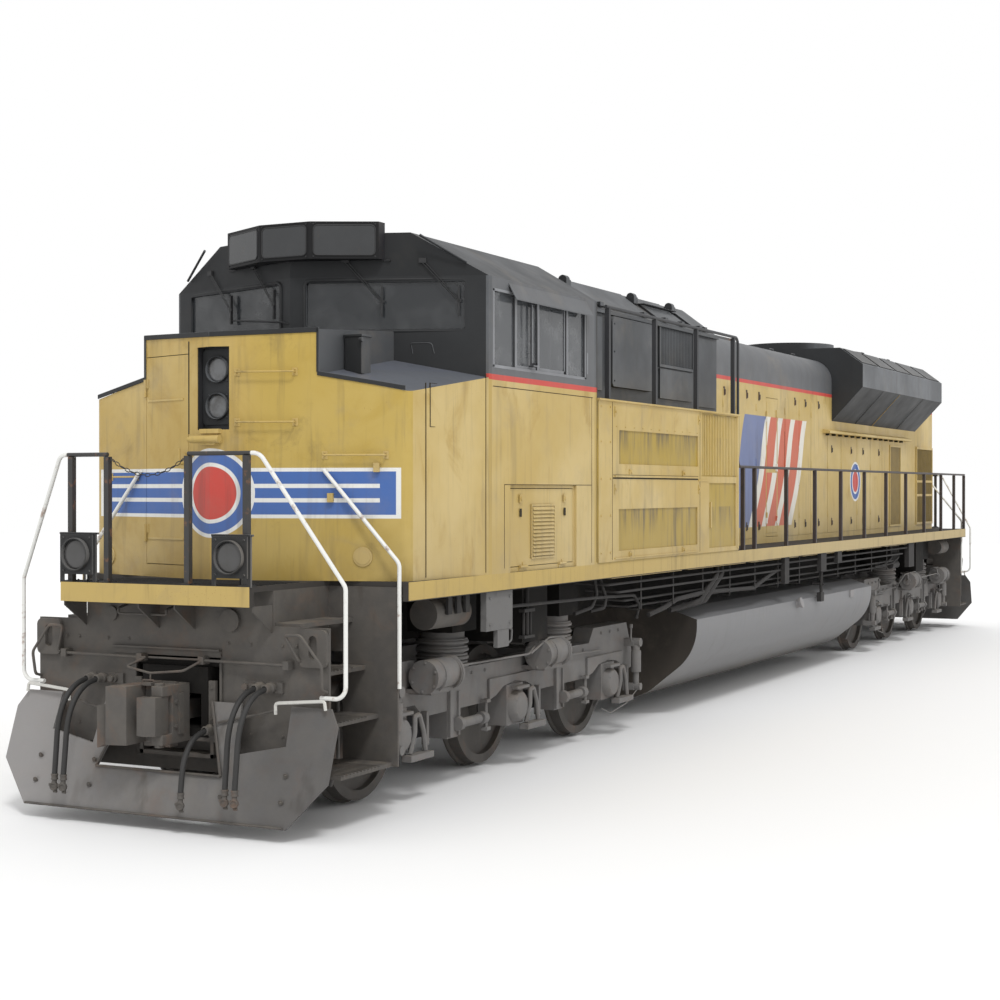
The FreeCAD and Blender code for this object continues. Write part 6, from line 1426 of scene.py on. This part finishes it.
# desks: screens in their cases, levers and knobs; then the lockers on the cab's rear wall
parts, screens = [], []
for centre in (0.90, -0.90):
    for across in (centre - 0.20, centre, centre + 0.20):
        parts += boxes((across - 0.085, across + 0.085, -8.33, -8.30, 3.26, 3.42))
        screens += boxes((across - 0.07, across + 0.07, -8.300, -8.297, 3.28, 3.40))
    for across, top in ((centre - 0.24, 3.17), (centre - 0.14, 3.15), (centre - 0.04, 3.16)):
        parts.append(bar((across, -8.10, 3.06), (across, -8.04, top), 0.010, 10))
        parts += bars("x", (across - 0.02, -8.04, top, 0.04, 0.016, 12))
    parts += [spun([(0.0, 0.0), (0.0, 0.03), (0.02, 0.028), (0.024, 0.0)],
                   (centre + 0.12 + 0.07 * step, -8.12, 3.09), (0, 0.3, 1), 14) for step in range(3)]
parts += boxes((-0.35, 0.35, -6.575, -6.552, 2.4, 3.9), (-0.30, -0.05, -6.60, -6.56, 3.2, 3.7),
               (0.05, 0.30, -6.60, -6.56, 3.2, 3.7))
gather("deskFittings", parts, plainFinish("deskFittingFinish", (0.06, 0.06, 0.065), 0.45),
       0.002)
gather("deskScreens", screens, plainFinish("screenGlass", (0.010, 0.014, 0.016), 0.12))
print("inside fitted")

# battery hatch: louvres in their frame, two latches and their slots; the right side has the same
outer = 1.5435
parts = [plate([(outer, -7.85, 1.953 + 0.033 * step), (outer, -7.85, 1.925 + 0.033 * step),
                (outer + 0.014, -7.85, 1.925 + 0.033 * step)], (0, 0.425, 0)) for step in range(13)]
parts += border(outer, -7.865, -7.41, 1.915, 2.355, 0.015, 0.006)
slots = []
for place in (-8.086, -7.184):
    parts += boxes((outer, outer + 0.010, place - 0.03, place + 0.03, 2.385, 2.455))
    parts += bars("x", (outer + 0.010, place, 2.42, 0.006, 0.018, 16))
    slots += boxes((outer, outer + 0.003, place - 0.018, place + 0.018, 2.265, 2.335))
right = mirroredCopies(parts)
gather("hatchLouvres", parts, yellowPaint("louvrePaint", streaks=0.8, blotches=0.5),
       body="battery_hatch")
# the latch slots are dark strips of painted shade
gather("hatchSlotShades", slots, paintedSeamShade, body="battery_hatch")
gather("rightHatchLouvres", right, yellowPaint("rightLouvrePaint", streaks=0.8, blotches=0.5))

# engine doors: three latches and two stiffening panels on each
parts = boxes((0.968, 0.9745, 0.43, 0.85, 1.93, 2.72), (0.968, 0.9745, 0.43, 0.85, 2.80, 3.65),
              *((0.968, 0.992, 0.80, 0.84, level - 0.05, level + 0.05) for level in (2.10, 2.79, 3.50)))
for side, fittings in (("right", mirroredCopies(parts)), ("left", parts)):
    gather(side + "DoorFittings", fittings, yellowPaint(side + "DoorFittingPaint", marks=bandMarks),
           0.002, side + "_engine_door")

# nose door: a plate, a handle and two strips
parts = boxes((-0.36, -0.31, 2.66, 2.78, -0.001, 0.012), (-0.82, -0.34, 3.20, 3.215, -0.001, 0.006),
              (-0.82, -0.34, 2.10, 2.115, -0.001, 0.006))
parts.append(tube([(-0.335, 2.70, 0.01), (-0.335, 2.70, 0.045), (-0.335, 2.82, 0.045)], 0.009))
gather("noseDoorFittings", laid(rightFacet, parts), yellowIron, 0.0015, "nose_door")

# cab door in the rear wall: a handle, a kick plate and a window frame
parts = boxes((-1.10, -1.05, -6.468, -6.458, 3.02, 3.14), (-1.41, -1.04, -6.468, -6.462, 2.36, 2.55))
parts += [tube([(-1.075, -6.46, 3.05), (-1.075, -6.425, 3.05), (-1.075, -6.425, 3.15)], 0.009),
          loopTube([(a, -6.464, z) for a, z in roundedLoop((-1.38, 3.35), (-1.07, 3.95), 0.05)], 0.012)]
gather("cabDoorFittings", parts, greyPaint("cabDoorFittingPaint", "greyPale"), 0.0015,
       "cab_door")
print("doors fitted")


# plain marks on the front: a straight blue band that ends in points, and a red disc
def noseMarks(paint, base):
    across, level = abs(paint.x), paint.z - 2.47
    front = (paint.y < -9.85) * (paint.facing()[1] < -0.2)
    stain = paint.noise(1.5, 5, 0.65, None, 0.8).rise(0.46, 0.72) + paint.z.rise(2.05, 1.75) * 0.5
    low = paint.z.rise(2.02, 1.72) * paint.noise(2.1, 5, 0.6).rise(0.30, 0.60)
    soot = paint.noise(2.6, 6, 0.7, None, 0.5).rise(0.55, 0.75) * paint.noise(0.9, 2).rise(0.45, 0.6)
    rest = (0.165 - abs(level)).smaller((1.40 - across) * 0.75)
    lines = abs(abs(level) - 0.055).rise(0.018, 0.014) * (across < 1.28)
    # painted light: the left half of the front gets a warmer, more saturated yellow than the right
    for share, tone in ((0.25 + 0.45 * stain, "yellowWorn"),
                        (paint.x.rise(0.05, 0.5) * 0.38, (0.45, 0.32, 0.035)),
                        (low * 0.5, (0.26, 0.175, 0.022)), (soot * 0.45, (0.10, 0.065, 0.02)),
                        (rest.rise(-0.030, -0.026), "white"), (rest.rise(-0.002, 0.002), "blue"),
                        (lines, "white")):
        base = paint.blend(front * share, base, tone)
    return discMarks(paint, base, (across * across + level * level) ** 0.5,
                     ((0.345, "white"), (0.315, "blue"), (0.235, "white"), (0.205, "red")), front)


# the nose is grey on its flat top, behind its middle hump and on the shoulders, with painted light and shade
def noseShades(paint, base):
    up = paint.facing()[2]
    # the grey paint on up-facing faces, given a lighter, bluer tone as painted sky light
    base = paint.blend(up.rise(0.28, 0.34) * paint.z.rise(3.15, 3.2), base, (0.098, 0.106, 0.122))
    base = noseMarks(paint, base)
    behind = (paint.y - abs(paint.x) * 0.32 + 10.392) > 0.0
    upper = paint.z > (3.30 + 0.42 * (paint.y + 9.92).smaller(0.36).larger(0.0))
    # painted light: up-facing grey is lighter and bluer than upright grey
    paintedSkyLitGrey = paint.blend(up.rise(0.5, 0.9), "grey", (0.098, 0.106, 0.128))
    base = paint.blend(behind * upper, base, paintedSkyLitGrey)
    # painted shade: the walls of the headlamp recess are near black
    return paint.blend(behind * (abs(paint.x) < 0.25) * (paint.z < 3.66), base, (0.030, 0.030, 0.032))


# the recessed panels keep a deeper yellow, with painted shadow in streaks below their tops
def recessShades(paint, base):
    base = paint.blend(0.90, base, (0.36, 0.245, 0.022))
    # painted shadow under the top edge of each recess
    for top in (3.068, 2.31, 3.325):
        runs = paint.noise(9, 4, 0.6, (1, 1, 0.12)).rise(0.42, 0.66)
        base = paint.blend(paint.z.rise(top - 0.30, top) * (paint.z < top) * runs * 0.7, base, "grime")
    return base


# the housing is grey down to the cabinet on its left side
def housingShades(paint, base):
    return paint.blend((paint.x > 0.98) * (paint.z > 3.30), base, (0.050, 0.053, 0.057))


# yellow edges, dustier towards the rear, round a dark underframe that is painted near black below the sill as
# painted shade
def underframeFinish():
    paint = Paint("underframeFinish")
    edge = ((abs(paint.x) > 1.5535) * (paint.z > 1.662)).larger(abs(paint.y) > 11.105)
    # painted shade: near black below the sill, over the underframe's own dark colour, with grime
    underShadeAndGrime = paint.blend(paint.z.rise(1.60, 1.66), (0.012, 0.011, 0.010), "running")
    underShadeAndGrime = paint.blend(paint.noise(5, 5, 0.6).rise(0.5, 0.75) * 0.3, underShadeAndGrime, "grime")
    yellows = paint.blend(0.35, "yellow", "yellowPale")
    yellows = paint.blend(paint.y.rise(-8.5, 2.0) * 0.55, yellows, (0.47, 0.40, 0.27))
    paint.shader.inputs["Specular IOR Level"].default_value = 0.15
    return paint.done(paint.blend(edge, underShadeAndGrime, weather(paint, yellows, 0.5, 0.30, 1.5, 2.2)), 0.8)


# browner posts below, grey above
def railFinish():
    paint = Paint("railFinish")
    lower = paint.blend(paint.noise(7, 4).rise(0.3, 0.7), (0.050, 0.036, 0.032), (0.034, 0.027, 0.025))
    paint.bump(paint.noise(55, 3), 0.002, 0.4)
    return paint.done(paint.blend(paint.z > 3.28, lower, (0.030, 0.031, 0.034)), 0.55)


# end rails: dark posts, white grab rails
def endRailFinish():
    paint = Paint("endRailFinish")
    across = abs(paint.x)
    post = across.within(0.775, 0.825, 0.001) * abs(paint.y).within(11.02, 11.08, 0.001)
    ground = paint.blend(across.rise(0.835, 0.845) * (1 - post), (0.030, 0.029, 0.028), "white")
    return paint.done(paint.blend(paint.noise(14, 4).rise(0.56, 0.72) * 0.7, ground, "rust"), 0.45)


# dusty glass; the side panes are paler, a painted reflection
def glassFinish():
    paint = Paint("glassFinish")
    film = paint.noise(3.5, 5, 0.6).rise(0.4, 0.8)
    paint.bump(paint.noise(1.5, 2), 0.002, 0.2)
    screens = paint.blend(film * 0.6, (0.034, 0.037, 0.040), (0.100, 0.103, 0.105))
    sides = paint.blend(film * 0.6, (0.085, 0.090, 0.096), (0.17, 0.175, 0.18))
    return paint.done(paint.blend(abs(paint.x) > 1.5, screens, sides), 0.10 + 0.25 * film,
                      Alpha=0.80 + 0.15 * film)


# the tank is pale on its sides and darker low down, and painted shade darkens its ends
def tankFinish():
    paint = Paint("tankFinish")
    ground = paint.blend(paint.z.rise(0.42, 0.25), "tank", (0.075, 0.073, 0.070))
    # painted shade: faces turned to the ends are darkened
    ground = paint.blend(abs(paint.facing()[1]).rise(0.55, 0.75), ground, (0.032, 0.026, 0.021))
    paint.bump(paint.noise(2.0, 3) + paint.noise(60, 2) * 0.04, 0.006, 0.4)
    return paint.done(weather(paint, ground, 0.35, 0.25, 0.2, 0.9), 0.5)


nodeFinishes = {
    "underframe": underframeFinish(),
    "nose": yellowPaint("nosePaint", streaks=0.55, marks=noseShades),
    "nose_door": yellowPaint("noseDoorPaint", streaks=0.55, marks=noseMarks),
    "cab_front_wall": greyPaint("cabFrontPaint", edge=1.54),
    "cab_side_walls": yellowPaint("cabSidePaint", upper=3.40, streaks=0.4, within=1.515),
    "cab_rear_wall": greyPaint("cabRearPaint", edge=1.54),
    # painted shade: the cab roof's grey is darkened
    "cab_roof": greyPaint("cabRoofPaint", light=0.60),
    "battery_hatch": yellowPaint("hatchPaint"),
    "cab_door": yellowPaint("cabDoorPaint", upper=3.40),
    "electrical_cabinet": yellowPaint("cabinetPaint", streaks=1.0, blotches=0.3, marks=recessShades),
    "equipment_housing": yellowPaint("housingPaint", upper=3.84, marks=housingShades),
    "engine_hood": yellowPaint("hoodPaint", upper=3.84, marks=bandMarks),
    "left_engine_door": yellowPaint("leftDoorPaint"),
    "right_engine_door": yellowPaint("rightDoorPaint"),
    # painted light: the radiator housing's grey is lightened
    "radiator_housing": greyPaint("radiatorPaint", light=1.32),
    "number_boards": greyPaint("boardPaint", "black"),
    "exhaust_stack": ironFinish("stackFinish", "grey"),
    "fuel_tank": tankFinish(),
    "cab_glass": glassFinish(),
    "cab_floor": plainFinish("floorFinish", (0.05, 0.05, 0.05), 0.8),
    "cab_seats": plainFinish("seatFinish", (0.04, 0.045, 0.06), 0.9),
    "control_desks": plainFinish("deskFinish", (0.12, 0.12, 0.12), 0.6),
    "engine_block": ironFinish("engineFinish", "grey", 0.1, 0.2),
    "lamps": plainFinish("lampFinish", (0.10, 0.10, 0.10), 0.5),
    "side_handrails": railFinish(),
    "end_handrails": endRailFinish(),
    "pilots": ironFinish("pilotFinish", "running", 0.15, 0.5),
    # the ploughs carry painted light and shade from side to side
    "ploughs": ironFinish("ploughFinish", "beam", 0.15, 0.55, paintedSideLight=True),
    "air_reservoirs": ironFinish("reservoirFinish", "running", 0.2, 0.5),
    "hose_couplings": handIron,
    "hose_ports": ironFinish("portFinish", "running", 0.2, 0.3),
}
for end in ("front", "rear"):
    for part, values in (("truck_frame", ("beam", 0.12, 0.5)), ("truck_gear", ("beam", 0.15, 0.5)),
                         ("traction_motors", ("black", 0.2, 0.12)), ("coupler", ("running", 0.35, 0.45)),
                         ("knuckle", ("running", 0.35, 0.45))):
        nodeFinishes[f"{end}_{part}"] = ironFinish(f"{end}_{part}", *values)
for number in range(1, 7):
    nodeFinishes[f"wheelset_{number}"] = ironFinish(f"wheelFinish{number}", "running", 0.2, 0.25)
for number in range(1, 4):
    nodeFinishes[f"radiator_fan_{number}"] = greyPaint(f"fanPaint{number}", "black")
for node, finish in nodeFinishes.items():
    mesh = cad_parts[node].data
    for index in range(len(mesh.materials)):
        mesh.materials[index] = finish
print("node finishes given")

# floor, backdrop and light
studio = {
    "floor": 120.0,
    "sky": 0.95,
    "sun": 1.3,
    "sunTurn": (38, 8, 32),  # degrees
    "sunWidth": 12,
}
bpy.ops.mesh.primitive_plane_add(size=studio["floor"], location=(0, 0, -0.001))
floor = bpy.context.object
floor.name = "floor"
floor.data.materials.append(Paint("studioFloor").done((0.86, 0.86, 0.86), 0.8))

# the camera sees pure white, and the pieces are lit a little less
world = bpy.data.worlds.new("studio")
scene.world = world
world.use_nodes = True
sheet = world.node_tree
sheet.nodes.clear()
mixed, path, out = (sheet.nodes.new("ShaderNode" + kind)
                    for kind in ("MixShader", "LightPath", "OutputWorld"))
for socket, strength in ((1, studio["sky"]), (2, 1.0)):
    back = sheet.nodes.new("ShaderNodeBackground")
    back.inputs["Color"].default_value = (1, 1, 1, 1)
    back.inputs["Strength"].default_value = strength
    sheet.links.new(back.outputs[0], mixed.inputs[socket])
sheet.links.new(path.outputs["Is Camera Ray"], mixed.inputs[0])
sheet.links.new(mixed.outputs[0], out.inputs[0])

lamp = bpy.data.objects.new("key", bpy.data.lights.new("key", "SUN"))
scene.collection.objects.link(lamp)
lamp.data.energy = studio["sun"]
lamp.data.angle = math.radians(studio["sunWidth"])
lamp.rotation_euler = [math.radians(angle) for angle in studio["sunTurn"]]
